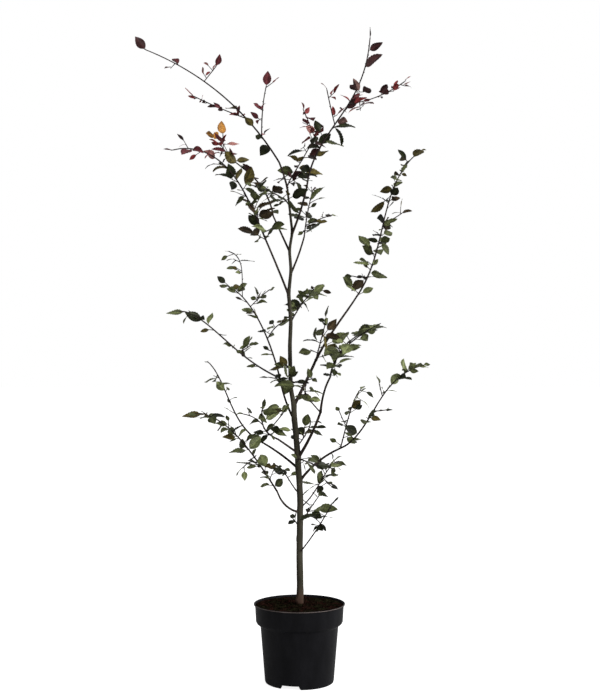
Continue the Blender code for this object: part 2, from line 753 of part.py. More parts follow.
def notch_block(number):
    """A block that cuts one notch: as wide as its top there, and wider toward the floor."""
    bpy.ops.mesh.primitive_cube_add(size=1)
    block = bpy.context.object
    block.name = "notch_%d" % number
    for vertex in block.data.vertices:
        width = NOTCH_TOP_WIDTH if vertex.co.z > 0 else 2 * NOTCH_FOOT_WIDTH - NOTCH_TOP_WIDTH
        vertex.co = vertex.co * Vector((NOTCH_DEPTH, width, NOTCH_HEIGHT * 2))
    turn = Matrix.Rotation(math.radians(NOTCH_BEARING + number * 360 / NOTCHES), 4, "Z")
    block.matrix_world = turn @ Matrix.Translation((FOOT_RADIUS, 0, 0))
    return block


def build_pot(group):
    """The thin-walled pot, with its lip, its wide collar and the drainage notches in its foot."""
    outside, inside = pot_outline()
    pot = turned("pot", outside + inside + outside[:1], POT_STEPS, group)
    for number in range(NOTCHES):
        block = notch_block(number)
        boolean(pot, "DIFFERENCE", block)
        remove(block)
    return pot


def build_soil(group):
    """The compost that fills the pot, heaped a little round the trunk."""
    inside = pot_outline()[1]
    top = SOIL_AT_WALL
    wall = [(radius - 2.2 * CLEARANCE, height + CLEARANCE) for radius, height in inside]
    wall[0] = (0, inside[0][1] + CLEARANCE)
    low, high = wall[-2], wall[-1]
    share = (top - low[1]) / (high[1] - low[1])
    edge = (low[0] + (high[0] - low[0]) * share, top)
    crown = [(0, SOIL_AT_TRUNK), (0.016, SOIL_AT_TRUNK),
             (SOIL_CROWN_RADIUS, SOIL_AT_WALL + 0.0018)]
    return turned("soil", crown + [edge] + wall[-2::-1], SOIL_STEPS, group)


def paint(thing, material):
    """Give an object its material, and shade it smooth where it is round."""
    thing.data.materials.clear()
    thing.data.materials.append(material)
    thing.data.shade_smooth()
    thing.data.set_sharp_from_angle(angle=math.radians(35))


def main():
    """Build the whole plant."""
    clear_scene()
    plant = new_collection("potted_copper_beech")
    bench = new_collection("cutters")
    materials = {
        "pot": new_material("black_plastic", (0.010, 0.010, 0.011), 0.45),
        "soil": new_material("compost", (0.012, 0.008, 0.005), 0.95),
        "bark": new_material("bark", (0.052, 0.046, 0.034), 0.80),
        "green": new_material("foliage_green", (0.060, 0.085, 0.028), 0.50),
        "olive": new_material("foliage_olive", (0.055, 0.042, 0.016), 0.50),
        "maroon": new_material("foliage_maroon", (0.085, 0.026, 0.028), 0.50),
    }
    rings = {sides: ring_profile(sides, bench) for sides in (TRUNK_SIDES, BOUGH_SIDES, TWIG_SIDES)}
    form = leaf_form()
    limbs, masses = plan_plant()
    paint(build_pot(plant), materials["pot"])
    paint(build_soil(plant), materials["soil"])
    paint(build_trunk(limbs, rings, plant), materials["bark"])
    for bough in BOUGHS:
        paint(build_bough(bough, limbs, rings, plant, bench), materials["bark"])
    for shoot in SHOOTS:
        mass = build_mass(shoot, limbs, masses[shoot.name], rings, form, plant, bench)
        paint(mass, materials[shoot.tint])
    for ring in rings.values():
        remove(ring)


if __name__ == "__main__":
    main()
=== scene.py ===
"""The looks of the potted copper beech: bark, twigs, leaves, pot and compost.

The plant grows here by the same rule as its solids, so every limb, spur and leaf
lies where the frame has it. Metres, Z up, with the front of the plant along -Y.
"""

import json
import math
import random
from dataclasses import dataclass

import bmesh
import bpy
import numpy as np
from mathutils import Matrix, Vector, noise

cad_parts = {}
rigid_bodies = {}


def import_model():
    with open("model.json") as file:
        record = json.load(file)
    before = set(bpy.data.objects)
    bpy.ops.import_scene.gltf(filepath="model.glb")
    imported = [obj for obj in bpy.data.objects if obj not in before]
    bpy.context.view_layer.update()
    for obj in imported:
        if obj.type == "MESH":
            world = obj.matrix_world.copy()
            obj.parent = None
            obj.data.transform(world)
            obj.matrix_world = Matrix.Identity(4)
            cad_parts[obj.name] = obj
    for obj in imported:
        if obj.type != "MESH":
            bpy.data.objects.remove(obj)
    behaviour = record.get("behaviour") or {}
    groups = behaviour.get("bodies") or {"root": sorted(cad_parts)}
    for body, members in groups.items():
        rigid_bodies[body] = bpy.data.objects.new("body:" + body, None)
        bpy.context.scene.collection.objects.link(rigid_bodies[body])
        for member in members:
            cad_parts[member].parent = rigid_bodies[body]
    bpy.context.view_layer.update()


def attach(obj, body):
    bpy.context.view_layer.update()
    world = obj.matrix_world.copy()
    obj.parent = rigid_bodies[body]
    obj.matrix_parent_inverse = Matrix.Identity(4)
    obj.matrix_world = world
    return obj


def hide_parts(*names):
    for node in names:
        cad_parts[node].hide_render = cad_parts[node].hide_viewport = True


UP = Vector((0, 0, 1))

# Pot, as outer radii and heights
POT_HEIGHT = 0.241
RIM_RADIUS = 0.140
LIP_DROP = 0.0035
COLLAR_TOP_RADIUS = 0.1362
COLLAR_BOTTOM_RADIUS = 0.1335
COLLAR_BOTTOM = 0.187
SHOULDER_BOTTOM = 0.170
BODY_TOP_RADIUS = 0.1195
BODY_BOTTOM_RADIUS = 0.1060
FOOT_RADIUS = 0.1015
FOOT_WIDTH = 0.007
FOOT_CORNER = 0.006
WALL = 0.0018
CHANNEL_HEIGHT = 0.0125
PAD_RADIUS = 0.062

# Drainage notches round the foot
NOTCHES = 3
NOTCH_TOP_WIDTH = 0.053
NOTCH_FOOT_WIDTH = 0.064
NOTCH_HEIGHT = 0.0118
NOTCH_DEPTH = 0.036
NOTCH_BEARING = -105.6

# Compost
SOIL_AT_WALL = 0.2340
SOIL_AT_TRUNK = 0.2390
SOIL_CROWN_RADIUS = 0.050

# Trunk: height, offset to the right, offset backward and radius at each bend
TRUNK_BENDS = (
    (0.2393, 0.0015, 0.000, 0.0106),
    (0.300, 0.0020, 0.001, 0.0101),
    (0.390, 0.0005, 0.003, 0.0096),
    (0.560, 0.0027, 0.002, 0.0091),
    (0.700, -0.0055, -0.002, 0.0090),
    (0.800, -0.0148, -0.002, 0.0085),
    (0.850, -0.0175, 0.001, 0.0078),
    (0.900, -0.0265, 0.003, 0.0064),
    (1.030, -0.0295, 0.004, 0.0059),
    (1.105, -0.0262, 0.002, 0.0057),
    (1.190, -0.0330, -0.003, 0.0055),
    (1.262, -0.0258, -0.005, 0.0046),
    (1.325, -0.0308, -0.003, 0.0043),
    (1.380, -0.0218, 0.000, 0.0039),
    (1.515, -0.0372, 0.003, 0.0032),
)
TRUNK_RING_GAP = 0.060
BEND_ROUNDING = 0.012
FLARE = 0.0018
FLARE_HEIGHT = 0.010

BOUGH_RING_GAP = 0.030
BUD_GAP = 0.026
TWIG_TIP_RADIUS = 0.0011
SPUR_RADIUS = 0.0013

# Leaf, as shares of its length
LEAF_HALF_WIDTH = 0.33
LEAF_NARROWING = 0.28
LEAF_LENGTHS = (0.042, 0.063)

# How a shoot is dressed, with angles in degrees
SPREAD = (42, 76)
ROLL = 34
DROOP = (-0.32, 0.14)
ERECT = 2.0
ERECT_ABOVE = 1.62
TILT = 0.90
OUTWARD = 0.55
SPUR_LENGTHS = (0.012, 0.046)
SPUR_LEAVES = (2, 4)
TIP_SINK = 0.08
TIP_LEAF = 0.72
BUD_SHIFT = 0.4
SAMPLE_GAP = 0.006
GAP_TO_LIMBS = 0.0052
GAP_TO_OTHER_LEAVES = 0.0075
GAP_TO_OWN_LEAVES = 0.0040

# Fineness of the visible meshes
BARK_RING = 0.003

# Swellings of the trunk's bark: height, bearing in degrees, height and width of the bulge, and its lift
KNOTS = (
    (0.2510, -165, 0.0075, 0.95, 0.0034),
    (0.2560, -60, 0.0060, 0.55, 0.0016),
    (0.2760, 10, 0.0150, 0.80, 0.0008),
    (0.3160, -60, 0.0070, 0.55, 0.0013),
    (0.4380, 170, 0.0080, 0.60, 0.0014),
    (0.7580, -20, 0.0070, 0.60, 0.0014),
    (0.9900, 150, 0.0060, 0.70, 0.0011),
)
FOOT_ROUNDING = (0.0050, 0.38)
COLLAR_HEIGHT = 0.010
COLLAR_LIFT = 0.0017
LEAF_ALONG = 28
LEAF_ACROSS = 8

# Blade, as shares of the leaf's length, with its bends in radians
STALK_SHARE = 0.10
STALK_RADII = (0.0010, 0.0008, 0.0006)
BLADE_HALF_WIDTH = 0.290
VEIN_PAIRS = 7
VEIN_SLANT = 1.5
VEIN_DEPTH = 0.012
FOLDS = (0.06, 0.42)
CURLS = (-0.20, 0.60)
TWISTS = (-0.45, 0.45)
WAVES = (0.010, 0.030)
CRISP_FOLDS = (0.15, 0.75)
CRISP_CURLS = (-0.4, 1.0)
CRISP_ABOVE = 1.52

TRUNK_FACETS = 28
TRUNK_FULLNESS = 1.04
BOUGH_FULLNESS = 1.05
TWIG_FULLNESS = (1.12, 1.50)
SPUR_FULLNESS = 1.12

# Buds, and the finer growth that only the looks have
BUD_LENGTH = 0.0065
LEAF_SCALE = 1.07
TIP_SCALE = 0.75
TOP_TIP_SCALE = 1.20
FLAT_BREADTH = 1.50
FINE_SEED = 189
FINE_SHARE = 0.80
FINE_SHARES = {
    "leaves_mid_left": 0.30, "leaves_high_left_front": 0.30, "leaves_far_left": 0.30,
    "leaves_top_left": 0.30, "leaves_upper_right": 0.35, "leaves_foot_front": 0.30,
}
FINE_SPURS = (0.006, 0.026)
FINE_SPUR_LEAVES = (1, 3)
FINE_LEAVES = (0.45, 0.72)
FINE_SEEDS = {
    "leaves_mid_left": 13, "leaves_near_left": 23, "leaves_high_left_front": 22, "leaves_far_left": 24,
    "leaves_top_left": 11, "leaves_far_right": 20, "leaves_mid_right": 20, "leaves_low_right": 45,
}
FINE_GAP = 0.0025

# Compost: its facets, its lumps as lift and fineness, and its loose crumbs by kind
SOIL_RINGS = 56
SOIL_FACETS = 150
SOIL_LUMPS = ((0.0030, 38), (0.0022, 110), (0.0010, 300))
COMPOST_COLOR = (0.0110, 0.0065, 0.0045)
COMPOST_RED = (0.0230, 0.0095, 0.0070)
COMPOST_OLIVE = (0.0150, 0.0140, 0.0070)
CRUMBS = (
    ("peat_crumbs", 620, (0.0010, 0.0034), (0.0060, 0.0040, 0.0028)),
    ("bark_chips", 150, (0.0012, 0.0042), (0.0210, 0.0125, 0.0070)),
    ("olive_crumbs", 60, (0.0010, 0.0024), (0.0190, 0.0175, 0.0085)),
)

# Pot, and the painted highlight on the outer band of its lip
POT_FACETS = 144
PLASTIC_COLOR = (0.0050, 0.0050, 0.0060)
LIP_HIGHLIGHT_COLOR = (0.110, 0.090, 0.084)
LIP_HIGHLIGHT_BAND = (0.0008, 0.0024)

# Studio: the floor's colour, its glow to other things and to the camera, the glow of the surroundings
# from far left to far right, and each lamp's place, size and power
FLOOR_COLOR = (0.55, 0.55, 0.55)
FLOOR_GLOW = (0.12, 0.88)
WORLD_GLOW = (0.12, 0.90)
LIGHTS = (("key", (3.2, -2.8, 2.8), 2.2, 235), ("fill", (-2.8, -2.6, 1.8), 2.6, 10))

# Bark colours in linear light
TRUNK_COLOR = (0.033, 0.030, 0.021)
TRUNK_FOOT_COLOR = (0.048, 0.027, 0.019)
PORE_COLOR = (0.105, 0.092, 0.070)
BOUGH_COLOR = (0.020, 0.014, 0.011)

# Leaf colours by class: base colour in linear light, and roughness
LEAF_COLORS = {
    "deep_green": ((0.014, 0.017, 0.006), 0.44),
    "green": ((0.060, 0.069, 0.026), 0.46),
    "fresh_green": ((0.120, 0.138, 0.056), 0.48),
    "olive": ((0.072, 0.057, 0.014), 0.48),
    "bronze": ((0.036, 0.024, 0.011), 0.46),
    "rose_brown": ((0.135, 0.074, 0.064), 0.50),
    "maroon": ((0.030, 0.010, 0.010), 0.46),
    "purple_red": ((0.092, 0.020, 0.024), 0.46),
    "red": ((0.180, 0.028, 0.028), 0.48),
    "pink": ((0.360, 0.160, 0.140), 0.50),
    "amber": ((0.340, 0.150, 0.026), 0.50),
}

# Share of each colour class among the sprays of a palette
PALETTES = {
    "inner": (("deep_green", 0.44), ("green", 0.38), ("fresh_green", 0.10), ("olive", 0.08)),
    "green": (("deep_green", 0.18), ("green", 0.46), ("fresh_green", 0.32), ("olive", 0.04)),
    "turning": (("deep_green", 0.20), ("green", 0.34), ("fresh_green", 0.20), ("olive", 0.16),
                ("bronze", 0.10)),
    "dusky": (("deep_green", 0.32), ("olive", 0.26), ("bronze", 0.22), ("green", 0.14),
              ("maroon", 0.06)),
    "maroon": (("maroon", 0.66), ("purple_red", 0.20), ("rose_brown", 0.14)),
    "red": (("red", 0.50), ("purple_red", 0.30), ("maroon", 0.15), ("pink", 0.05)),
}

# The palette that holds from each height up, on the shoots that leave the trunk itself and on the others
INNER_HEIGHTS = ((0.0, "inner"), (1.06, "turning"), (1.36, "dusky"))
OUTER_HEIGHTS = ((0.0, "green"), (1.06, "turning"), (1.46, "dusky"))

# Shoots whose ends flush red, those that flush maroon with red offshoots, and the one with an amber leaf
RED_TIPPED = ("leaves_upper_left", "leaves_far_left", "leaves_top_middle")
MAROON_TIPPED = ("leaves_top_left", "leaves_upper_right")
AMBER_TIPPED = "leaves_far_left"
TOP_SHOOT = "leaves_top_left"
YOUNG = 0.72
YOUNG_MAROON = 0.42
COLOR_SEED = 12
STRAY_SHARE = 0.45


@dataclass
class Limb:
    """How a limb leaves its parent and bends on its way, with angles in degrees."""

    name: str
    parent: str
    height: float
    azimuth: float
    turn: float
    pitch: float
    curl: float
    arch: float
    length: float
    radii: tuple


@dataclass
class Side:
    """An offshoot: its share along the shoot, and how it leaves and bends."""

    share: float
    azimuth: float
    turn: float
    pitch: float
    curl: float
    length: float


@dataclass
class Shoot(Limb):
    """A leafy shoot: its seed, the shares of its buds with spurs and with leaves, and its bare share."""

    seed: int
    spurs: float
    leaves: float
    bare: float = 0.0
    tint: str = "green"
    sides: tuple = ()


@dataclass
class Leaf:
    """One leaf, by where it is rooted, where it points, which way its face looks and its length."""

    root: Vector
    direction: Vector
    face: Vector
    length: float
    spray: int


# A limb whose height is zero starts at its parent's tip, and the others at that height on the trunk.
# Columns: name, parent, height, azimuth, turn, pitch, curl, arch, length, radii at foot and tip
BOUGHS = (
    Limb("bough_low_left", "trunk", 0.519, -147, 11, 11, 55, 0, 0.117, (0.0034, 0.0026)),
    Limb("bough_mid_left", "trunk", 0.653, 139, 3, 32, -10, 0, 0.158, (0.0037, 0.0028)),
    Limb("bough_near_left", "trunk", 0.702, -123, -1, 25, -1, 0, 0.116, (0.0034, 0.0027)),
    Limb("bough_high_left", "trunk", 0.800, 136, -9, 52, 20, 0, 0.149, (0.0034, 0.0027)),
    Limb("bough_upper_left", "trunk", 1.184, -138, -1, 62, -2, 0, 0.177, (0.0034, 0.0027)),
    Limb("bough_far_left", "trunk", 1.319, 126, 0, 53, 0, 0, 0.148, (0.0031, 0.0025)),
    Limb("bough_top_left", "trunk_tip", 0, 143, 2, 73, -8, 0, 0.088, (0.0029, 0.0026)),
    Limb("bough_upper_right", "trunk", 1.374, -52, -9, 53, 12, 0, 0.161, (0.0035, 0.0027)),
    Limb("bough_far_right", "trunk", 1.251, 67, 6, 42, 7, 0, 0.174, (0.0031, 0.0025)),
    Limb("bough_high_right", "trunk", 0.846, 23, 1, 60, 4, 0, 0.157, (0.0050, 0.0039)),
    Limb("bough_high_right_end", "bough_high_right", 0, 1, 57, 64, -25, 0, 0.256, (0.0036, 0.0027)),
    Limb("bough_mid_right", "trunk", 0.686, -43, -5, 49, 14, 0, 0.174, (0.0047, 0.0037)),
    Limb("bough_mid_right_end", "bough_mid_right", 0, -79, 14, 64, -25, 0, 0.139, (0.0034, 0.0027)),
    Limb("bough_low_right", "trunk", 0.613, -8, -1, 55, -31, 0, 0.167, (0.0040, 0.0028)),
)

THICK = (0.0026, TWIG_TIP_RADIUS)
THIN = (0.0020, TWIG_TIP_RADIUS)

# Columns as above, then the seed and the shares of buds with a spur and with a leaf
SHOOTS = (
    Shoot("leaves_low_left", "bough_low_left", 0, -180, 60, 58, -57, 16, 0.399, THICK,
          5, 0.5, 0.4, sides=(Side(0.27, -147, 4, 22, -72, 0.060),)),
    Shoot("leaves_low_left_twig", "trunk", 0.574, 116, -2, 17, -11, 18, 0.192, THIN,
          98, 0.05, 0.12, bare=0.5),
    Shoot("leaves_mid_left", "bough_mid_left", 0, 159, -49, 22, -15, 42, 0.396, THICK,
          52, 0.05, 0.12),
    Shoot("leaves_near_left", "bough_near_left", 0, -121, 42, 15, 23, 0, 0.245, THICK,
          101, 0.1, 0.4, sides=(Side(0.33, -40, -2, 39, 8, 0.103), Side(0.56, 150, 6, 44, -38, 0.075))),
    Shoot("leaves_high_left_back", "bough_high_left", 0, 143, -21, 73, -67, 9, 0.449, THICK,
          35, 0.05, 0.12,
          sides=(Side(0.71, 79, 60, 110, -96, 0.192), Side(0.59, 42, -1, 40, -9, 0.095),
                 Side(0.29, -46, 8, 55, -37, 0.095))),
    Shoot("leaves_high_left_front", "bough_high_left", 0, -165, 60, 24, -29, 24, 0.479, THICK,
          31, 0.05, 0.12, sides=(Side(0.33, 35, 5, 18, 17, 0.055),)),
    Shoot("leaves_upper_left", "bough_upper_left", 0, -117, -45, 47, -64, 32, 0.458, THICK,
          94, 0.5, 0.4, tint="olive"),
    Shoot("leaves_far_left", "bough_far_left", 0, 149, -37, 80, -42, -27, 0.397, THICK,
          74, 0.2, 0.5, tint="olive", sides=(Side(0.94, 200, -20, 84, 6, 0.050),)),
    Shoot("leaves_upper_front", "trunk", 1.460, -94, -43, 8, 0, 0, 0.255, THIN,
          23, 0.2, 0.5, bare=0.25, tint="olive"),
    Shoot("leaves_top_left", "bough_top_left", 0, 149, 40, 56, -36, 3, 0.578, THICK,
          33, 0.05, 0.12, tint="maroon",
          sides=(Side(0.18, -89, 29, 78, -16, 0.157), Side(0.32, 159, 3, 22, 5, 0.200),
                 Side(0.64, 35, 5, 50, 0, 0.070))),
    Shoot("leaves_top_middle", "trunk_tip", 0, 93, -60, 17, 48, 0, 0.340, THIN,
          49, 0.7, 0.25, bare=0.2, tint="maroon", sides=(Side(0.92, 136, 2, 66, -6, 0.105),)),
    Shoot("leaves_upper_right", "bough_upper_right", 0, -12, -60, 84, -8, -35, 0.489, THICK,
          54, 0.2, 0.5, tint="maroon",
          sides=(Side(0.58, 35, -37, 10, 26, 0.197), Side(0.42, -123, 3, 62, 4, 0.106))),
    Shoot("leaves_far_right", "bough_far_right", 0, 83, -7, 50, -7, 0, 0.234, THIN,
          62, 0.05, 0.12, tint="olive", sides=(Side(0.22, 26, 0, 27, -10, 0.099),)),
    Shoot("leaves_back_right", "trunk", 1.101, 70, -6, 37, -19, 0, 0.268, THIN,
          65, 0.35, 0.35, bare=0.2),
    Shoot("leaves_high_right", "bough_high_right_end", 0, 30, 3, 51, -18, 32, 0.554, THICK,
          38, 0.7, 0.25, tint="olive",
          sides=(Side(0.48, 26, -1, 20, 15, 0.078), Side(0.14, 148, 0, -5, 21, 0.057))),
    Shoot("leaves_high_right_side", "bough_high_right", 0, -81, 0, 33, 0, 0, 0.194, THIN,
          99, 0.7, 0.25),
    Shoot("leaves_mid_right", "bough_mid_right_end", 0, -86, 60, 39, -14, 0, 0.289, THICK,
          14, 0.2, 0.5, sides=(Side(0.36, 62, -60, 47, -23, 0.128),)),
    Shoot("leaves_mid_right_side", "bough_mid_right", 0, -131, 36, 36, -12, 0, 0.166, THIN,
          106, 0.05, 0.12, bare=0.3, sides=(Side(0.67, -102, 60, 89, -91, 0.073),)),
    Shoot("leaves_low_right", "bough_low_right", 0, -58, 60, 15, -2, 43, 0.396, THICK,
          71, 0.1, 0.4, sides=(Side(0.47, 37, 1, -2, 8, 0.050), Side(0.60, 120, 0, 66, 0, 0.040))),
    Shoot("leaves_low_right_back", "bough_low_right", 0, 66, 4, 54, -40, 13, 0.265, THIN,
          45, 0.05, 0.12, sides=(Side(0.30, 126, -3, 50, 4, 0.059),)),
    Shoot("leaves_foot_back", "trunk", 0.533, 50, 18, 22, -24, 27, 0.278, THIN,
          60, 0.35, 0.35, bare=0.3, sides=(Side(0.55, 43, -8, -54, 23, 0.044),)),
    Shoot("leaves_foot_side", "trunk", 0.481, 67, -1, 27, -3, 0, 0.166, THIN,
          58, 0.35, 0.35, bare=0.4),
    Shoot("leaves_foot_front", "trunk", 0.395, -65, 5, 33, 13, 0, 0.252, THIN,
          88, 0.05, 0.12, bare=0.45, sides=(Side(0.70, -143, -5, 45, -33, 0.061),)),
    Shoot("leaves_middle_back", "trunk", 0.720, 54, 35, 36, -18, 0, 0.160, THIN,
          47, 0.5, 0.4, bare=0.3),
    Shoot("leaves_middle_front", "trunk", 0.674, -96, 49, 18, -35, 0, 0.188, THIN,
          16, 0.05, 0.12, bare=0.3),
    Shoot("leaves_trunk_front", "trunk", 0.911, -89, -4, 9, -1, 0, 0.154, THIN,
          78, 0.05, 0.12, bare=0.25, sides=(Side(0.33, -156, 2, 18, -9, 0.072),)),
    Shoot("leaves_trunk_tuft", "trunk", 0.960, -102, -3, 14, -4, 0, 0.077, THIN,
          56, 0.5, 0.4, bare=0.3),
    Shoot("leaves_foot_tuft", "trunk", 0.475, 106, -1, 9, 1, 0, 0.082, THIN,
          1, 0.05, 0.12, bare=0.4),
)


def trunk_at(height):
    """Centre and radius of the trunk at a height, with its bends a little rounded."""
    bends = np.array(TRUNK_BENDS)
    right, back, radius = (
        np.mean([np.interp(height + shift, bends[:, 0], bends[:, column])
                 for shift in (-BEND_ROUNDING, 0, BEND_ROUNDING)])
        for column in (1, 2, 3))
    flare = FLARE * math.exp(-(height - bends[0, 0]) / FLARE_HEIGHT)
    return Vector((right, back, height)), radius + flare


def trunk_path():
    """Ring centres and radii of the trunk, close together in the root flare."""
    foot, tip = TRUNK_BENDS[0][0], TRUNK_BENDS[-1][0]
    low = [foot + step for step in (0, 0.006, 0.014, 0.028)]
    rings = round((tip - low[-1]) / TRUNK_RING_GAP)
    heights = low + [low[-1] + (tip - low[-1]) * ring / rings for ring in range(1, rings + 1)]
    centres, radii = zip(*(trunk_at(height) for height in heights))
    return list(centres), list(radii)


def grow(foot, azimuth, turn, pitch, curl, arch, length, gap):
    """Points of a limb from its foot, about a gap apart, as it turns, curls and arches."""
    steps = max(2, round(length / gap))
    points = [Vector(foot)]
    for step in range(steps):
        share = (step + 0.5) / steps
        heading = math.radians(azimuth + turn * share)
        rise = math.radians(pitch + curl * share + arch * math.sin(math.pi * share))
        level = Vector((math.cos(heading), math.sin(heading), 0)) * math.cos(rise)
        points.append(points[-1] + (level + UP * math.sin(rise)) * length / steps)
    return points


def taper(points, radii):
    """An even taper from the foot's radius to the tip's."""
    return [radii[0] + (radii[1] - radii[0]) * step / (len(points) - 1) for step in range(len(points))]


def grow_limbs():
    """Path and radii of the trunk, every bough and every shoot's main stem, by name."""
    limbs = {"trunk": trunk_path()}
    for limb in BOUGHS + SHOOTS:
        if limb.height:
            foot = trunk_at(limb.height)[0]
        else:
            foot = limbs["trunk" if limb.parent == "trunk_tip" else limb.parent][0][-1]
        gap = BUD_GAP if isinstance(limb, Shoot) else BOUGH_RING_GAP
        points = grow(foot, limb.azimuth, limb.turn, limb.pitch, limb.curl, limb.arch, limb.length, gap)
        limbs[limb.name] = (points, taper(points, limb.radii))
    return limbs


def grow_offshoots(shoot, stem):
    """Paths of the long side shoots that leave a shoot's main stem."""
    points, radii = stem
    paths = []
    for side in shoot.sides:
        joint = round(side.share * (len(points) - 1))
        path = grow(points[joint], side.azimuth, side.turn, side.pitch, side.curl, 0, side.length, BUD_GAP)
        paths.append((path, taper(path, (radii[joint] * 0.8, TWIG_TIP_RADIUS))))
    return paths


def samples_along(points, radii):
    """Points with radii, close enough together to test how near something passes."""
    rows = []
    for foot, tip, foot_radius, tip_radius in zip(points, points[1:], radii, radii[1:]):
        steps = max(1, math.ceil((tip - foot).length / SAMPLE_GAP))
        for step in range(steps):
            share = step / steps
            rows.append((*foot.lerp(tip, share), foot_radius + (tip_radius - foot_radius) * share))
    rows.append((*points[-1], radii[-1]))
    return np.array(rows)


def leaf_width(along):
    """Half the leaf's width at a share of its length, as a share of its length."""
    bend = 2 * along - 1
    return math.sqrt(max(0.0, 1 - bend * bend)) * LEAF_HALF_WIDTH * (1 - LEAF_NARROWING * bend)


def leaf_samples(leaf):
    """Points over a leaf's blade, with no radius."""
    across = leaf.face.cross(leaf.direction)
    rows = []
    for along in (0.18, 0.38, 0.58, 0.79, 1.0):
        for side in (-0.95, -0.45, 0, 0.45, 0.95):
            spot = leaf.direction * along + across * leaf_width(along) * side
            rows.append((*(leaf.root + spot * leaf.length), 0.0))
    return np.array(rows)


def is_clear(samples, others, gap):
    """Whether every sample stays a gap away from the surface of all the others."""
    if not len(others):
        return True
    spans = np.linalg.norm(samples[:, None, :3] - others[None, :, :3], axis=2)
    return bool((spans > samples[:, None, 3] + others[None, :, 3] + gap).all())


def side_way(forward, side, spread, roll):
    """A direction that leaves forward sideways by the spread, rolled about forward."""
    across = forward.cross(UP)
    if across.length < 0.05:
        across = forward.cross(Vector((0, 1, 0)))
    across = Matrix.Rotation(math.radians(roll), 3, forward) @ across.normalized()
    return forward * math.cos(spread) + across * side * math.sin(spread)


def draw_leaf(dice, root, forward, side, spray):
    """A leaf on a twig: to the side of it, or straight on where side is zero, and nearly level."""
    spread = math.radians(dice.uniform(*SPREAD)) if side else math.radians(dice.uniform(0, 20))
    direction = side_way(forward, side or 1, spread, dice.gauss(0, ROLL))
    direction.z = direction.z * 0.8 + dice.uniform(*DROOP) + ERECT * max(0, root.z - ERECT_ABOVE)
    direction.normalize()
    outward = Vector((root.x, root.y, 0)).normalized()
    lean = UP + outward * OUTWARD + Vector((dice.gauss(0, TILT), dice.gauss(0, TILT), 0))
    face = (lean - direction * lean.dot(direction)).normalized()
    return Leaf(root, direction, face, dice.uniform(*LEAF_LENGTHS), spray)


def draw_spur(dice, root, forward, side, spray):
    """A short side twig and its leaves, the last of them at its tip."""
    way = side_way(forward, side, math.radians(dice.uniform(*SPREAD)), dice.gauss(0, ROLL))
    way.z = way.z * 0.8 + dice.uniform(0.0, 0.2)
    way.normalize()
    length = dice.uniform(*SPUR_LENGTHS)
    count = dice.randint(*SPUR_LEAVES)
    leaves = []
    for number in range(count):
        last = number == count - 1
        spot = root + way * length * (1 - TIP_SINK if last else 0.35 + 0.5 * number / count)
        leaves.append(draw_leaf(dice, spot, way, 0 if last else side * (-1) ** number, spray))
    return [root, root + way * length], leaves


def dress(shoot, stems, limbs_near, leaves_near):
    """Spurs and leaves of one mass. Whatever would touch something else is left out."""
    dice = random.Random(shoot.seed)
    spurs, leaves, own = [], [], []

    def keep(leaf):
        samples = leaf_samples(leaf)
        free = (is_clear(samples, limbs_near, GAP_TO_LIMBS)
                and is_clear(samples, leaves_near, GAP_TO_OTHER_LEAVES)
                and all(is_clear(samples, other, GAP_TO_OWN_LEAVES) for other in own))
        if free:
            own.append(samples)
            leaves.append(leaf)
        return free

    spray = 0
    for points, radii in stems:
        side = dice.choice((-1, 1))
        for joint in range(1, len(points)):
            side = -side
            spray += 1
            forward = (points[joint] - points[joint - 1]).normalized()
            share = joint / (len(points) - 1)
            last = joint == len(points) - 1
            root = points[joint].lerp(points[joint - 1], TIP_SINK if last else BUD_SHIFT)
            roll = dice.random()
            spur, spur_leaves = draw_spur(dice, root, forward, side, spray)
            leaf = draw_leaf(dice, root, forward, 0 if last else side, spray)
            if last:
                leaf.length *= TIP_LEAF
                keep(leaf)
            elif share > shoot.bare and roll < shoot.spurs:
                twig = samples_along(spur, (SPUR_RADIUS, SPUR_RADIUS))
                if is_clear(twig, limbs_near, GAP_TO_LIMBS) and is_clear(twig, leaves_near, GAP_TO_LIMBS):
                    if sum([keep(extra) for extra in spur_leaves]):
                        spurs.append(spur)
            elif share > shoot.bare and roll < shoot.spurs + shoot.leaves:
                keep(leaf)
    return spurs, leaves


def near_to(rows, path, reach):
    """The rows that lie within reach of the box round a path."""
    corners = np.array([tuple(point) for point in path])
    low, high = corners.min(axis=0) - reach, corners.max(axis=0) + reach
    return rows[((rows[:, :3] > low) & (rows[:, :3] < high)).all(axis=1)]


def plan_plant():
    """Every limb's path, and every mass's stems, spurs and leaves."""
    limbs = grow_limbs()
    stems = {shoot.name: [limbs[shoot.name]] + grow_offshoots(shoot, limbs[shoot.name])
             for shoot in SHOOTS}
    solid = {limb.name: samples_along(*limbs[limb.name]) for limb in BOUGHS}
    solid["trunk"] = samples_along(*limbs["trunk"])
    for name, paths in stems.items():
        solid[name] = np.concatenate([samples_along(*path) for path in paths])
    masses = {}
    blades = np.zeros((0, 4))
    for shoot in SHOOTS:
        path = [point for points, radii in stems[shoot.name] for point in points]
        others = np.concatenate([rows for name, rows in solid.items() if name != shoot.name])
        spurs, leaves = dress(shoot, stems[shoot.name], near_to(others, path, 0.12),
                              near_to(blades, path, 0.12))
        masses[shoot.name] = (stems[shoot.name], spurs, leaves)
        twigs = [samples_along(spur, (SPUR_RADIUS, SPUR_RADIUS)) for spur in spurs]
        blades = np.concatenate([blades] + twigs + [leaf_samples(leaf) for leaf in leaves])
    return limbs, masses


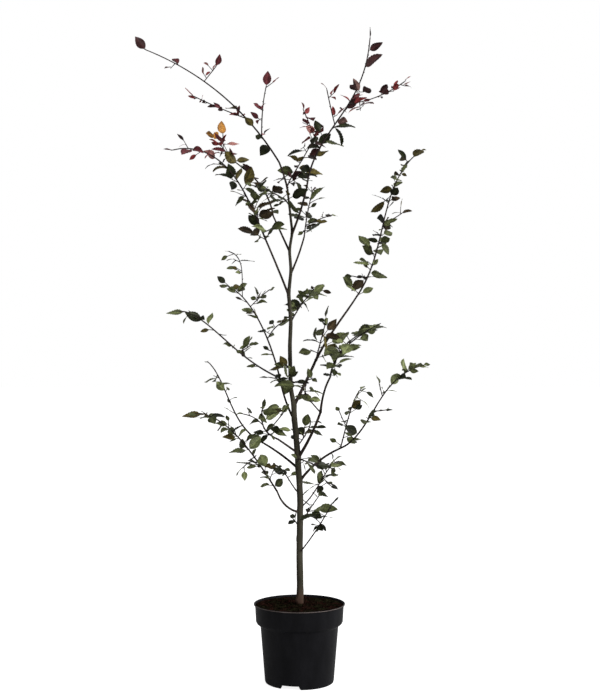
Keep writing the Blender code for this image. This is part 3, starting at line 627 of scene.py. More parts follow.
class Shape:
    """Vertices and faces gathered for one joined mesh."""

    def __init__(self):
        self.vertices = []
        self.faces = []
        self.count = 0

    def add(self, vertices, faces):
        """Add an array of vertices, and faces that number them from zero."""
        self.vertices.append(vertices)
        self.faces.append(faces + self.count)
        self.count += len(vertices)

    def build(self, name, material, slot, nodes=(), ribs=None):
        """Make the mesh object, ride it on the plant's body and hide the parts it replaces."""
        mesh = bpy.data.meshes.new(name)
        vertices = np.concatenate(self.vertices)
        faces = np.concatenate(self.faces)
        mesh.from_pydata(vertices.tolist(), [], faces.tolist())
        mesh.shade_smooth()
        mesh.materials.append(material)
        if ribs is not None:
            pattern = mesh.attributes.new("rib", "FLOAT", "POINT")
            pattern.data.foreach_set("value", np.tile(ribs, self.count // len(ribs)))
        return place(name, mesh, slot, nodes)


def place(name, mesh, slot, nodes=()):
    """Link a mesh as a piece of the plant."""
    thing = bpy.data.objects.new(name, mesh)
    bpy.context.scene.collection.objects.link(thing)
    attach(thing, "root")
    if nodes:
        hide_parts(*nodes)
    return thing


def smooth_path(points, gap):
    """A finer path through the same points, rounded between them, and each new point's place along."""
    knots = [points[0] * 2 - points[1]] + list(points) + [points[-1] * 2 - points[-2]]
    path, shares = [], []
    for number in range(1, len(knots) - 2):
        before, foot, tip, after = knots[number - 1:number + 3]
        steps = max(1, math.ceil((tip - foot).length / gap))
        for step in range(steps):
            t = step / steps
            path.append(0.5 * ((2 * foot) + (tip - before) * t
                               + (2 * before - 5 * foot + 4 * tip - after) * t * t
                               + (3 * foot - before - 3 * tip + after) * t ** 3))
            shares.append((number - 1 + t) / (len(points) - 1))
    path.append(Vector(points[-1]))
    shares.append(1.0)
    return path, shares


def tube_mesh(path, radii, sides, relief=0.0, grain=90.0):
    """Vertices and quads of a round limb with closed ends, with bark relief where asked."""
    vertices, faces = [], []
    across = Vector((1, 0, 0))
    for number, (centre, radius) in enumerate(zip(path, radii)):
        before, after = path[max(0, number - 1)], path[min(len(path) - 1, number + 1)]
        forward = (after - before).normalized()
        across = (across - forward * across.dot(forward)).normalized()
        up = forward.cross(across)
        for side in range(sides):
            angle = 2 * math.pi * side / sides
            way = across * math.cos(angle) + up * math.sin(angle)
            bump = 0.0
            if relief:
                spot = centre + way * radius
                bump = noise.noise(Vector((spot.x, spot.y, spot.z * 0.25)) * grain)
                bump += 0.5 * noise.noise(spot * grain * 3.1)
            vertices.append(centre + way * radius * (1 + relief * bump))
    for ring in range(len(path) - 1):
        for side in range(sides):
            a = ring * sides + side
            b = ring * sides + (side + 1) % sides
            faces.append((a, b, b + sides, a + sides))
    tip = len(vertices)
    vertices.append(path[-1] + (path[-1] - path[-2]).normalized() * radii[-1] * 0.5)
    last = tip - sides
    for side in range(sides):
        faces.append((last + side, last + (side + 1) % sides, tip, tip))
    return np.array([tuple(v) for v in vertices]), np.array(faces)


def limb_radius(share, radii):
    """Radius along a limb, with the swollen collar at its foot."""
    radius = radii[0] + (radii[-1] - radii[0]) * share
    return radius * (1 + 0.35 * math.exp(-share * 14))


def leaf_grid():
    """A leaf's blade as shares: how far along each vertex is, and how far across, and its quads."""
    along = np.repeat(np.linspace(0, 1, LEAF_ALONG + 1), LEAF_ACROSS + 1)
    across = np.tile(np.linspace(-1, 1, LEAF_ACROSS + 1), LEAF_ALONG + 1)
    quads = []
    for row in range(LEAF_ALONG):
        for column in range(LEAF_ACROSS):
            a = row * (LEAF_ACROSS + 1) + column
            quads.append((a, a + 1, a + LEAF_ACROSS + 2, a + LEAF_ACROSS + 1))
    return along, across, np.array(quads)


def blade_width(along):
    """Half width of a beech leaf at a share of its blade: oval, widest below its middle, with a point."""
    body = np.abs(np.sin(np.pi * np.clip(along, 0, 1) ** 0.84)) ** 0.90
    return BLADE_HALF_WIDTH * body * (1 - 0.12 * along)


def rib_pattern(grid):
    """How much each vertex of a blade lies on its midrib or on a side vein, from 0 to 1."""
    along, across, _ = grid
    edge = np.abs(across)
    side_veins = np.clip(np.cos(2 * np.pi * (VEIN_PAIRS * along - VEIN_SLANT * edge)), 0, 1) ** 2
    return np.maximum(side_veins * (1 - 0.5 * edge), edge < 0.1)


def leaf_vertices(leaf, length, flat, grid, dice):
    """Vertices of one blade, folded along its middle, pleated between its veins, curled and twisted."""
    along, across, _ = grid
    crisp = leaf.root.z > CRISP_ABOVE and not flat
    fold = dice.uniform(*(CRISP_FOLDS if crisp else FOLDS))
    curl = dice.uniform(*(CRISP_CURLS if crisp else CURLS)) + 0.001
    twist = dice.uniform(*TWISTS)
    wave = dice.uniform(*WAVES)
    phase = dice.uniform(0, 6.28)
    edge = np.abs(across)
    vein = 2 * np.pi * (VEIN_PAIRS * along - VEIN_SLANT * edge)
    half = blade_width(along) * (1 + 0.028 * np.cos(vein) * edge) * (FLAT_BREADTH if flat else 1)
    pleat = VEIN_DEPTH * np.cos(vein) * edge ** 0.6 * np.sin(np.pi * along) ** 0.5
    rim = wave * np.sin(along * 8 + across * 1.4 + phase) * edge ** 2
    side = across * half * math.cos(fold)
    lift = np.abs(across) * half * math.sin(fold) * (1 - 0.35 * edge) + pleat + rim
    turn = twist * (along - 0.3)
    side, lift = side * np.cos(turn) - lift * np.sin(turn), side * np.sin(turn) + lift * np.cos(turn)
    blade = 1 - STALK_SHARE
    bend = curl * along
    reach = STALK_SHARE + blade * (np.sin(bend) / curl) + lift * np.sin(bend)
    drop = blade * (1 - np.cos(bend)) / curl
    height = lift * np.cos(bend) - drop
    spot = (np.outer(reach, np.array(leaf.direction))
            + np.outer(side, np.array(leaf.face.cross(leaf.direction)))
            + np.outer(height, np.array(leaf.face)))
    return np.array(leaf.root) + spot * length


def new_material(name, color, roughness):
    """A Principled material, its shader and its node tree."""
    material = bpy.data.materials.new(name)
    material.use_nodes = True
    tree = material.node_tree
    shader = tree.nodes["Principled BSDF"]
    shader.inputs["Base Color"].default_value = (*color, 1)
    shader.inputs["Roughness"].default_value = roughness
    return material, shader, tree


def object_noise(tree, scale, detail=4.0, stretch=(1, 1, 1)):
    """A noise pattern fixed to the object, stretched if asked."""
    where = tree.nodes.new("ShaderNodeTexCoord")
    mapping = tree.nodes.new("ShaderNodeMapping")
    mapping.inputs["Scale"].default_value = stretch
    texture = tree.nodes.new("ShaderNodeTexNoise")
    texture.inputs["Scale"].default_value = scale
    texture.inputs["Detail"].default_value = detail
    tree.links.new(where.outputs["Object"], mapping.inputs["Vector"])
    tree.links.new(mapping.outputs["Vector"], texture.inputs["Vector"])
    return texture


def ramp(tree, source, stops):
    """A colour ramp from (place, colour) stops."""
    node = tree.nodes.new("ShaderNodeValToRGB")
    node.color_ramp.elements[0].position = stops[0][0]
    node.color_ramp.elements[0].color = (*stops[0][1], 1)
    node.color_ramp.elements[1].position = stops[-1][0]
    node.color_ramp.elements[1].color = (*stops[-1][1], 1)
    for spot, color in stops[1:-1]:
        node.color_ramp.elements.new(spot).color = (*color, 1)
    tree.links.new(source, node.inputs["Fac"])
    return node


def blend(tree, factor, first, second):
    """The colour between two others: each is an output or a plain colour."""
    node = tree.nodes.new("ShaderNodeMix")
    node.data_type = "RGBA"
    tree.links.new(factor, node.inputs["Factor"])
    for socket, color in ((node.inputs[6], first), (node.inputs[7], second)):
        if isinstance(color, tuple):
            socket.default_value = (*color, 1)
        else:
            tree.links.new(color, socket)
    return node.outputs[2]


def add_bump(tree, shader, source, strength, distance):
    """Bump from a pattern."""
    node = tree.nodes.new("ShaderNodeBump")
    node.inputs["Strength"].default_value = strength
    node.inputs["Distance"].default_value = distance
    tree.links.new(source, node.inputs["Height"])
    tree.links.new(node.outputs["Normal"], shader.inputs["Normal"])


def shade(color, factor):
    """A colour made lighter or darker."""
    return tuple(channel * factor for channel in color)


def leaf_material(name):
    """A leaf colour with mottling, paler ribs and a soft gloss."""
    color, roughness = LEAF_COLORS[name]
    material, shader, tree = new_material("leaf_" + name, color, roughness)
    mottle = object_noise(tree, 75.0)
    dark = ramp(tree, mottle.outputs["Fac"], ((0.34, shade(color, 0.45)), (0.66, shade(color, 1.20))))
    pale = ramp(tree, mottle.outputs["Fac"], ((0.34, shade(color, 1.00)), (0.66, shade(color, 2.20))))
    ribs = tree.nodes.new("ShaderNodeAttribute")
    ribs.attribute_name = "rib"
    tint = blend(tree, ribs.outputs["Fac"], dark.outputs["Color"], pale.outputs["Color"])
    tree.links.new(tint, shader.inputs["Base Color"])
    add_bump(tree, shader, object_noise(tree, 420.0).outputs["Fac"], 0.25, 0.0006)
    shader.inputs["Specular IOR Level"].default_value = 0.14
    return material


def bark_tint(tree, color, patches):
    """Bark colour that a pattern makes lighter and darker in patches."""
    return ramp(tree, patches.outputs["Fac"], ((0.30, shade(color, 0.50)), (0.50, color),
                                               (0.72, shade(color, 1.85))))


def trunk_material():
    """Smooth young beech bark: olive grey-brown with pale pores and cross lines, redder at its foot."""
    material, shader, tree = new_material("trunk_bark", TRUNK_COLOR, 0.82)
    shader.inputs["Specular IOR Level"].default_value = 0.08
    patches = object_noise(tree, 30.0, 7.0, (1, 1, 0.30))
    grey = bark_tint(tree, TRUNK_COLOR, patches)
    red = bark_tint(tree, TRUNK_FOOT_COLOR, patches)
    where = tree.nodes.new("ShaderNodeTexCoord")
    split = tree.nodes.new("ShaderNodeSeparateXYZ")
    tree.links.new(where.outputs["Object"], split.inputs["Vector"])
    low = tree.nodes.new("ShaderNodeMapRange")
    low.inputs["From Min"].default_value = 0.300
    low.inputs["From Max"].default_value = 0.250
    tree.links.new(split.outputs["Z"], low.inputs["Value"])
    mixed = blend(tree, low.outputs["Result"], grey.outputs["Color"], red.outputs["Color"])
    pores = object_noise(tree, 150.0, 3.0, (1, 1, 2.4))
    spots = ramp(tree, pores.outputs["Fac"], ((0.66, (0, 0, 0)), (0.72, (1, 1, 1))))
    pale = blend(tree, spots.outputs["Color"], mixed, PORE_COLOR)
    tree.links.new(pale, shader.inputs["Base Color"])
    add_bump(tree, shader, object_noise(tree, 240.0, 5.0, (1, 1, 2.0)).outputs["Fac"], 0.55, 0.0012)
    return material


def bough_material():
    """Bark of the boughs: dark purple-brown."""
    material, shader, tree = new_material("bough_bark", BOUGH_COLOR, 0.72)
    shader.inputs["Specular IOR Level"].default_value = 0.10
    tint = bark_tint(tree, BOUGH_COLOR, object_noise(tree, 60.0, 6.0, (1, 1, 0.5)))
    tree.links.new(tint.outputs["Color"], shader.inputs["Base Color"])
    add_bump(tree, shader, object_noise(tree, 300.0, 5.0).outputs["Fac"], 0.5, 0.0010)
    return material


def twig_material():
    """Dark brown twigs."""
    color = (0.014, 0.009, 0.008)
    material, shader, tree = new_material("twig", color, 0.66)
    shader.inputs["Specular IOR Level"].default_value = 0.10
    patches = object_noise(tree, 70.0)
    tint = ramp(tree, patches.outputs["Fac"], ((0.3, shade(color, 0.7)), (0.7, shade(color, 1.6))))
    tree.links.new(tint.outputs["Color"], shader.inputs["Base Color"])
    return material


def plastic_material(name, color):
    """Satin nursery plastic, with faint scuffs."""
    material, shader, tree = new_material(name, color, 0.50)
    shader.inputs["Specular IOR Level"].default_value = 0.06
    scuffs = object_noise(tree, 34.0, 8.0, (1, 1, 0.4))
    tint = ramp(tree, scuffs.outputs["Fac"], ((0.35, shade(color, 0.8)), (0.75, shade(color, 1.5))))
    tree.links.new(tint.outputs["Color"], shader.inputs["Base Color"])
    add_bump(tree, shader, object_noise(tree, 900.0).outputs["Fac"], 0.12, 0.0004)
    return material


def compost_material(name, color):
    """Moist peaty compost."""
    material, shader, tree = new_material(name, color, 1.0)
    shader.inputs["Specular IOR Level"].default_value = 0.0
    crumbs = object_noise(tree, 85.0, 9.0)
    patches = object_noise(tree, 26.0, 3.0)
    hue = ramp(tree, patches.outputs["Fac"], ((0.40, COMPOST_RED), (0.50, color), (0.60, COMPOST_OLIVE)))
    light = ramp(tree, crumbs.outputs["Fac"], ((0.34, (0, 0, 0)), (0.62, (1, 1, 1))))
    tint = blend(tree, light.outputs["Color"], shade(color, 0.20), hue.outputs["Color"])
    tree.links.new(tint, shader.inputs["Base Color"])
    add_bump(tree, shader, crumbs.outputs["Fac"], 0.8, 0.003)
    return material


def palette_of(name, height, youth, on_side):
    """The palette of a spray, by its shoot, its height and how near it is to its shoot's end."""
    if name in MAROON_TIPPED and on_side or name in RED_TIPPED and youth > YOUNG:
        return PALETTES["red"]
    if name in MAROON_TIPPED and youth > YOUNG_MAROON:
        return PALETTES["maroon"]
    steps = INNER_HEIGHTS if is_inner(name) else OUTER_HEIGHTS
    return PALETTES[[palette for foot, palette in steps if height >= foot][-1]]


def is_inner(name):
    """Whether a shoot leaves the trunk itself."""
    return any(shoot.name == name and shoot.parent == "trunk" for shoot in SHOOTS)


def color_leaves(masses):
    """The colour class of every leaf, by mass: its spray's, or at times another from the same palette."""
    dice = random.Random(COLOR_SEED)
    colors = {}
    for name, (stems, spurs, leaves) in masses.items():
        foot = stems[0][0][0]
        reach = max((leaf.root - foot).length for leaf in leaves)
        main = len(stems[0][0]) - 1
        palettes, sprays, classes = {}, {}, []
        for leaf in leaves:
            if leaf.spray not in sprays:
                youth = (leaf.root - foot).length / reach
                palette = palette_of(name, leaf.root.z, youth, leaf.spray > main)
                palettes[leaf.spray] = tuple(zip(*palette))
                sprays[leaf.spray] = dice.choices(*palettes[leaf.spray])[0]
            stray = dice.random() < STRAY_SHARE
            classes.append(dice.choices(*palettes[leaf.spray])[0] if stray else sprays[leaf.spray])
        if name == AMBER_TIPPED:
            classes = ["amber" if leaf.spray == max(sprays) else kind for leaf, kind in zip(leaves, classes)]
        colors[name] = classes
    return colors


def draw_fine_spur(dice, root, forward, side, spray):
    """A finer side twig with one to three smaller leaves, the first of them at its tip."""
    way = side_way(forward, side, math.radians(dice.uniform(*SPREAD)), dice.gauss(0, ROLL))
    length = dice.uniform(*FINE_SPURS)
    leaves = []
    for number in range(dice.randint(*FINE_SPUR_LEAVES)):
        spot = root + way * length * (1 - 0.4 * number)
        leaf = draw_leaf(dice, spot, way, side * (-1) ** number if number else 0, spray)
        leaf.length *= dice.uniform(*FINE_LEAVES)
        leaves.append(leaf)
    return [root, root + way * length], leaves


def grow_finer(masses, limbs):
    """The masses with smaller leaves added, on finer twigs between the buds of the rule."""
    solid = {name: samples_along(*path) for name, path in limbs.items()}
    blades = np.concatenate([leaf_samples(leaf) for mass in masses.values() for leaf in mass[2]])
    finer = {}
    for shoot in SHOOTS:
        stems, spurs, leaves = masses[shoot.name]
        spurs, leaves = list(spurs), list(leaves)
        dice = random.Random(FINE_SEEDS.get(shoot.name, FINE_SEED + shoot.seed))
        wood = np.concatenate([rows for name, rows in solid.items() if name != shoot.name])
        spray = 0
        for number, (points, radii) in enumerate(stems):
            fine_share = FINE_SHARE if number else FINE_SHARES.get(shoot.name, FINE_SHARE)
            for joint in range(1, len(points)):
                spray += 1
                foot, tip = points[joint - 1], points[joint]
                root, forward = foot.lerp(tip, dice.random()), (tip - foot).normalized()
                spur, extra = draw_fine_spur(dice, root, forward, dice.choice((-1, 1)), spray)
                if joint / (len(points) - 1) < shoot.bare or dice.random() > fine_share:
                    continue
                added = False
                for leaf in extra:
                    samples = leaf_samples(leaf)
                    if (is_clear(samples, near_to(wood, spur, 0.08), FINE_GAP)
                            and is_clear(samples, near_to(blades, spur, 0.08), FINE_GAP)):
                        blades = np.concatenate([blades, samples])
                        leaves.append(leaf)
                        added = True
                if added:
                    spurs.append(spur)
        finer[shoot.name] = (stems, spurs, leaves)
    return finer


def dress_leaves(masses):
    """Every leaf's blade, gathered by colour class, and all the stalks."""
    grid = leaf_grid()
    blades = {name: Shape() for name in LEAF_COLORS}
    stalks = Shape()
    dice = random.Random(77)
    colors = color_leaves(masses)
    for name, (stems, spurs, leaves) in masses.items():
        tips = [points[-1] for points, radii in stems]
        tip_scale = TOP_TIP_SCALE if name == TOP_SHOOT else TIP_SCALE
        for leaf, color in zip(leaves, colors[name]):
            at_tip = any((leaf.root - tip).length < 0.004 for tip in tips)
            flat = color == "amber"
            length = leaf.length * LEAF_SCALE * (tip_scale if at_tip and not flat else 1)
            blades[color].add(leaf_vertices(leaf, length, flat, grid, dice), grid[2])
            end = leaf.root + leaf.direction * length * STALK_SHARE * 1.3
            stalks.add(*tube_mesh([leaf.root, leaf.root.lerp(end, 0.5), end], STALK_RADII, 5))
    return blades, stalks


def dress_twigs(masses, shapes):
    """Stems, offshoots, spurs and buds."""
    for name, (stems, spurs, leaves) in masses.items():
        for points, radii in stems:
            path, shares = smooth_path(points, 0.008)
            foot, tip = radii[0] * TWIG_FULLNESS[0], radii[-1] * TWIG_FULLNESS[1]
            widths = [foot + (tip - foot) * share for share in shares]
            shapes.add(*tube_mesh(path, widths, 7, 0.10, 260.0))
            for number in range(1, len(points)):
                forward = (points[number] - points[number - 1]).normalized()
                across = forward.cross(UP).normalized() * (-1) ** number
                way = (forward * 0.8 + across * 0.6).normalized()
                if number == len(points) - 1:
                    way = forward
                add_bud(shapes, points[number], way)
        for spur in spurs:
            path = [spur[0], spur[0].lerp(spur[1], 0.5), spur[1]]
            widths = [SPUR_RADIUS * SPUR_FULLNESS * share for share in (1.0, 0.85, 0.7)]
            shapes.add(*tube_mesh(path, widths, 6))
            add_bud(shapes, spur[1], (spur[1] - spur[0]).normalized())


def add_bud(shapes, foot, way):
    """A slender pointed bud."""
    path = [foot + way * BUD_LENGTH * share for share in (0.0, 0.3, 0.65, 1.0)]
    shapes.add(*tube_mesh(path, [0.0007, 0.0013, 0.0010, 0.0002], 5))


def trunk_lift(height, bearing):
    """How far the bark swells out at a knot or at the collar under a limb."""
    lift = 0.0
    for place, toward, tall, wide, swell in KNOTS:
        apart = math.remainder(bearing - math.radians(toward), 2 * math.pi)
        lift += swell * math.exp(-((height - place) / tall) ** 2 - (apart / wide) ** 2)
    for limb in BOUGHS + SHOOTS:
        if limb.parent == "trunk" and abs(height - limb.height) < 3 * COLLAR_HEIGHT:
            apart = math.remainder(bearing - math.radians(limb.azimuth), 2 * math.pi)
            rise = (height - limb.height - 0.004) / COLLAR_HEIGHT
            lift += COLLAR_LIFT * (limb.radii[0] / 0.0036) * math.exp(-rise ** 2 - (apart / 1.0) ** 2)
    return lift


def build_trunk_bark():
    """The trunk with its knots, its collars and the fine relief of its bark."""
    shape = Shape()
    foot, tip = TRUNK_BENDS[0][0], TRUNK_BENDS[-1][0]
    heights = np.arange(foot - 0.004, tip, BARK_RING)
    vertices, faces = [], []
    for height in heights:
        centre, radius = trunk_at(max(height, foot))
        drawn_in = 1 - FOOT_ROUNDING[1] * math.exp(-((height - heights[0]) / FOOT_ROUNDING[0]) ** 2)
        for side in range(TRUNK_FACETS):
            bearing = 2 * math.pi * side / TRUNK_FACETS
            way = Vector((math.cos(bearing), math.sin(bearing), 0))
            spot = Vector((way.x * radius, way.y * radius, height))
            rough = (0.050 * noise.noise(Vector((spot.x * 90, spot.y * 90, height * 22)))
                     + 0.025 * noise.noise(Vector((spot.x * 240, spot.y * 240, height * 300))))
            reach = (radius * TRUNK_FULLNESS * (1 + rough) + trunk_lift(height, bearing)) * drawn_in
            vertices.append((centre.x + way.x * reach, centre.y + way.y * reach, height))
    for ring in range(len(heights) - 1):
        for side in range(TRUNK_FACETS):
            a = ring * TRUNK_FACETS + side
            b = ring * TRUNK_FACETS + (side + 1) % TRUNK_FACETS
            faces.append((a, b, b + TRUNK_FACETS, a + TRUNK_FACETS))
    shape.add(np.array(vertices), np.array(faces))
    return shape


def build_bough_bark(limbs):
    """The boughs, each swollen a little at its foot, with fine relief."""
    shape = Shape()
    for bough in BOUGHS:
        points, radii = limbs[bough.name]
        path, shares = smooth_path(points, 0.005)
        widths = [limb_radius(share, radii) * BOUGH_FULLNESS for share in shares]
        shape.add(*tube_mesh(path, widths, 14, 0.07, 120.0))
    return shape


def turned(name, profile, steps):
    """A mesh turned about the Z axis from an outline that runs from its top down its outer side."""
    mesh = bpy.data.meshes.new(name)
    edges = [(corner, corner + 1) for corner in range(len(profile) - 1)]
    mesh.from_pydata([(radius, 0, height) for radius, height in profile], edges, [])
    thing = bpy.data.objects.new(name, mesh)
    bpy.context.scene.collection.objects.link(thing)
    screw = thing.modifiers.new("Screw", "SCREW")
    screw.steps = steps
    screw.render_steps = steps
    screw.use_merge_vertices = True
    screw.merge_threshold = 0.00001
    return thing


def settle(thing):
    """Apply an object's modifiers."""
    bpy.context.view_layer.update()
    mesh = bpy.data.meshes.new_from_object(thing.evaluated_get(bpy.context.evaluated_depsgraph_get()))
    thing.modifiers.clear()
    thing.data = mesh
    return thing


def pot_outline():
    """The pot's outline: down its outside, across its stepped underside and up its inside."""
    inner_foot = FOOT_RADIUS - FOOT_WIDTH
    floor = CHANNEL_HEIGHT + WALL
    return [
        (RIM_RADIUS - WALL * 1.2, POT_HEIGHT),
        (RIM_RADIUS, POT_HEIGHT - LIP_HIGHLIGHT_BAND[0]),
        (RIM_RADIUS, POT_HEIGHT - LIP_HIGHLIGHT_BAND[1]),
        (RIM_RADIUS, POT_HEIGHT - LIP_DROP),
        (COLLAR_TOP_RADIUS, POT_HEIGHT - LIP_DROP - 0.0012),
        (COLLAR_BOTTOM_RADIUS, COLLAR_BOTTOM),
        (COLLAR_BOTTOM_RADIUS - 0.003, COLLAR_BOTTOM - 0.006),
        (BODY_TOP_RADIUS + 0.002, SHOULDER_BOTTOM + 0.004),
        (BODY_TOP_RADIUS, SHOULDER_BOTTOM),
        (BODY_BOTTOM_RADIUS, FOOT_CORNER),
        (BODY_BOTTOM_RADIUS - 0.0014, FOOT_CORNER * 0.3),
        (FOOT_RADIUS, 0),
        (inner_foot, 0),
        (inner_foot - 0.001, CHANNEL_HEIGHT),
        (PAD_RADIUS + 0.001, CHANNEL_HEIGHT),
        (PAD_RADIUS, 0),
        (0, 0),
    ], [
        (0, WALL),
        (PAD_RADIUS + 0.001 - WALL, WALL),
        (PAD_RADIUS + 0.001, floor),
        (BODY_BOTTOM_RADIUS - WALL * 2, floor),
        (BODY_TOP_RADIUS - WALL, SHOULDER_BOTTOM),
        (COLLAR_BOTTOM_RADIUS - 0.003 - WALL, COLLAR_BOTTOM - 0.006 + WALL),
        (COLLAR_BOTTOM_RADIUS - WALL, COLLAR_BOTTOM + WALL),
        (RIM_RADIUS - 0.0052, POT_HEIGHT - LIP_DROP),
    ]


def notch_block(number):
    """A block that cuts one notch: as wide as its top there, and wider toward the floor."""
    bpy.ops.mesh.primitive_cube_add(size=1)
    block = bpy.context.object
    for vertex in block.data.vertices:
        width = NOTCH_TOP_WIDTH if vertex.co.z > 0 else 2 * NOTCH_FOOT_WIDTH - NOTCH_TOP_WIDTH
        vertex.co = vertex.co * Vector((NOTCH_DEPTH, width, NOTCH_HEIGHT * 2))
    turn = Matrix.Rotation(math.radians(NOTCH_BEARING + number * 360 / NOTCHES), 4, "Z")
    block.matrix_world = turn @ Matrix.Translation((FOOT_RADIUS, 0, 0))
    return block


def build_pot():
    """The pot, with rounded edges, its notches and a painted highlight on the outer band of its lip."""
    outside, inside = pot_outline()
    pot = settle(turned("nursery_pot", outside + inside + outside[:1], POT_FACETS))
    for number in range(NOTCHES):
        cutter = notch_block(number)
        cut = pot.modifiers.new("Notch", "BOOLEAN")
        cut.operation = "DIFFERENCE"
        cut.object = cutter
        settle(pot)
        bpy.data.objects.remove(cutter, do_unlink=True)
    bevel = pot.modifiers.new("Bevel", "BEVEL")
    bevel.width = 0.0007
    bevel.segments = 2
    bevel.limit_method = "ANGLE"
    bevel.angle_limit = math.radians(25)
    settle(pot)
    pot.data.shade_smooth()
    pot.data.set_sharp_from_angle(angle=math.radians(40))
    pot.data.materials.clear()
    pot.data.materials.append(plastic_material("black_plastic", PLASTIC_COLOR))
    # The lip's outer band takes a pale second material: a painted highlight along the rim.
    pot.data.materials.append(plastic_material("painted_lip_highlight", LIP_HIGHLIGHT_COLOR))
    for face in pot.data.polygons:
        in_highlight_band = LIP_HIGHLIGHT_BAND[0] < POT_HEIGHT - face.center.z < LIP_HIGHLIGHT_BAND[1]
        face.material_index = int(in_highlight_band and face.center.xy.length > RIM_RADIUS - 0.0005)
    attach(pot, "root")
    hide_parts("pot")


def soil_height(x, y):
    """Height of the compost, heaped round the trunk and lumpy all over."""
    heap = math.exp(-(x * x + y * y) / SOIL_CROWN_RADIUS ** 2)
    height = SOIL_AT_WALL + (SOIL_AT_TRUNK - SOIL_AT_WALL) * heap
    for lift, scale in SOIL_LUMPS:
        height += lift * noise.noise(Vector((x, y, 0)) * scale)
    return height


def build_soil():
    """The compost's lumpy surface, and crumbs and chips that lie on it."""
    shape = Shape()
    edge = COLLAR_BOTTOM_RADIUS + 0.0005
    vertices, faces = [], []
    for ring in range(SOIL_RINGS + 1):
        radius = edge * ring / SOIL_RINGS
        for side in range(SOIL_FACETS):
            angle = 2 * math.pi * side / SOIL_FACETS
            x, y = radius * math.cos(angle), radius * math.sin(angle)
            vertices.append((x, y, soil_height(x, y)))
    for ring in range(SOIL_RINGS):
        for side in range(SOIL_FACETS):
            a = ring * SOIL_FACETS + side
            b = ring * SOIL_FACETS + (side + 1) % SOIL_FACETS
            faces.append((a, a + SOIL_FACETS, b + SOIL_FACETS, b))
    shape.add(np.array(vertices), np.array(faces))
    shape.build("compost_surface", compost_material("compost", COMPOST_COLOR), "compost", ("soil",))
    for name, count, sizes, color in CRUMBS:
        build_crumbs(name, count, sizes, color)


def build_crumbs(name, count, sizes, color):
    """Lumps of compost of one kind, each a small uneven stone."""
    ball = bmesh.new()
    bmesh.ops.create_icosphere(ball, subdivisions=1, radius=1)
    corners = np.array([tuple(vertex.co) for vertex in ball.verts])
    faces = np.array([[vertex.index for vertex in face.verts] for face in ball.faces])
    ball.free()
    dice = random.Random(name)
    shape = Shape()
    for _ in range(count):
        radius = (COLLAR_BOTTOM_RADIUS - 0.004) * math.sqrt(dice.random())
        angle = dice.uniform(0, 2 * math.pi)
        x, y = radius * math.cos(angle), radius * math.sin(angle)
        size = dice.uniform(*sizes)
        turn = Matrix.Rotation(dice.uniform(0, 6.28), 3, Vector((dice.gauss(0, 1), dice.gauss(0, 1), 1)))
        stretch = np.array([dice.uniform(0.6, 1.6), dice.uniform(0.5, 1.0), dice.uniform(0.4, 0.9)])
        uneven = 1 + 0.28 * np.sin(corners @ np.array([dice.uniform(2, 5) for _ in range(3)]) + angle * 7)
        lump = (corners * uneven[:, None] * stretch * size) @ np.array(turn)
        shape.add(lump + np.array([x, y, soil_height(x, y) + size * 0.25]), faces)
    shape.build("compost_" + name, compost_material(name, color), "compost")


def build_stage():
    """A plain pale floor."""
    mesh = bpy.data.meshes.new("floor")
    size = 30
    mesh.from_pydata([(-size, -size, 0), (size, -size, 0), (size, size, 0), (-size, size, 0)], [],
                     [(0, 1, 2, 3)])
    floor = bpy.data.objects.new("floor", mesh)
    floor.location.z = -0.0004
    material, shader, tree = new_material("floor_white", FLOOR_COLOR, 0.9)
    shader.inputs["Specular IOR Level"].default_value = 0.0
    shader.inputs["Emission Color"].default_value = (1, 1, 1, 1)
    paths = tree.nodes.new("ShaderNodeLightPath")
    glow = tree.nodes.new("ShaderNodeMapRange")
    glow.inputs["To Min"].default_value = FLOOR_GLOW[0]
    glow.inputs["To Max"].default_value = FLOOR_GLOW[1]
    tree.links.new(paths.outputs["Is Camera Ray"], glow.inputs["Value"])
    tree.links.new(glow.outputs["Result"], shader.inputs["Emission Strength"])
    mesh.materials.append(material)
    bpy.context.scene.collection.objects.link(floor)


def add_light(name, place, target, size, power):
    """A soft area light that looks at a spot."""
    data = bpy.data.lights.new(name, "AREA")
    data.size = size
    data.energy = power
    light = bpy.data.objects.new(name, data)
    light.location = place
    light.rotation_euler = (Vector(target) - Vector(place)).to_track_quat("-Z", "Y").to_euler()
    bpy.context.scene.collection.objects.link(light)


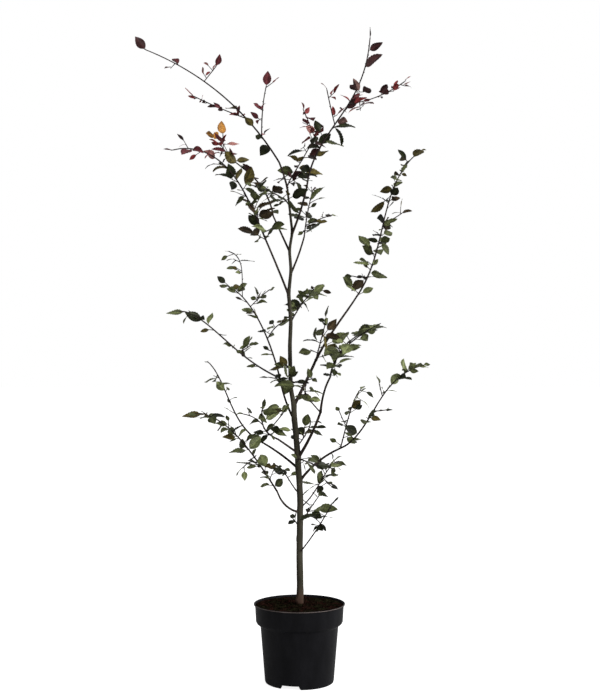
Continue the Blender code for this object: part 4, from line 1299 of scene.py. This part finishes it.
def build_lights():
    """Soft studio light, stronger from the right, before a white backdrop."""
    world = bpy.data.worlds.new("studio")
    world.use_nodes = True
    tree = world.node_tree
    seen = tree.nodes["Background"]
    seen.inputs["Color"].default_value = (1, 1, 1, 1)
    glow = tree.nodes.new("ShaderNodeBackground")
    glow.inputs["Color"].default_value = (1, 1, 1, 1)
    where = tree.nodes.new("ShaderNodeTexCoord")
    split = tree.nodes.new("ShaderNodeSeparateXYZ")
    across = tree.nodes.new("ShaderNodeMapRange")
    across.inputs["From Min"].default_value = -1.0
    across.inputs["To Min"].default_value = WORLD_GLOW[0]
    across.inputs["To Max"].default_value = WORLD_GLOW[1]
    tree.links.new(where.outputs["Generated"], split.inputs["Vector"])
    tree.links.new(split.outputs["X"], across.inputs["Value"])
    tree.links.new(across.outputs["Result"], glow.inputs["Strength"])
    either = tree.nodes.new("ShaderNodeMixShader")
    paths = tree.nodes.new("ShaderNodeLightPath")
    tree.links.new(paths.outputs["Is Camera Ray"], either.inputs["Fac"])
    tree.links.new(glow.outputs["Background"], either.inputs[1])
    tree.links.new(seen.outputs["Background"], either.inputs[2])
    tree.links.new(either.outputs["Shader"], tree.nodes["World Output"].inputs["Surface"])
    bpy.context.scene.world = world
    for name, place, size, power in LIGHTS:
        add_light(name, place, (0, 0, 1.0), size, power)
    bpy.context.scene.view_settings.view_transform = "Standard"


def build_camera():
    """The photograph's view: level, straight on, 3.9 m away."""
    data = bpy.data.cameras.new("camera")
    data.sensor_fit = "AUTO"
    data.sensor_width = 36
    data.lens = 65.3
    camera = bpy.data.objects.new("camera", data)
    camera.location = (0.0018, -3.9, 1.018)
    camera.rotation_euler = (math.radians(90), 0, 0)
    bpy.context.scene.collection.objects.link(camera)
    bpy.context.scene.camera = camera


def slot_of(name):
    """The record's slot for a leaf colour class."""
    if name in ("deep_green", "green", "fresh_green"):
        return "foliage_green"
    return "foliage_olive" if name in ("olive", "bronze", "amber") else "foliage_maroon"


def main():
    """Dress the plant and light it."""
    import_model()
    limbs, masses = plan_plant()
    masses = grow_finer(masses, limbs)
    build_trunk_bark().build("trunk_bark", trunk_material(), "bark", ["trunk"])
    build_bough_bark(limbs).build("bough_bark", bough_material(), "bark", [bough.name for bough in BOUGHS])
    twigs = Shape()
    dress_twigs(masses, twigs)
    blades, stalks = dress_leaves(masses)
    twigs.build("twigs_and_buds", twig_material(), "bark", [shoot.name for shoot in SHOOTS])
    stalks.build("leaf_stalks", twig_material(), "bark")
    ribs = rib_pattern(leaf_grid())
    for name, shape in blades.items():
        if shape.count:
            shape.build("leaves_" + name, leaf_material(name), slot_of(name), ribs=ribs)
    build_pot()
    build_soil()
    build_stage()
    build_lights()
    build_camera()
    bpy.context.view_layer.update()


main()
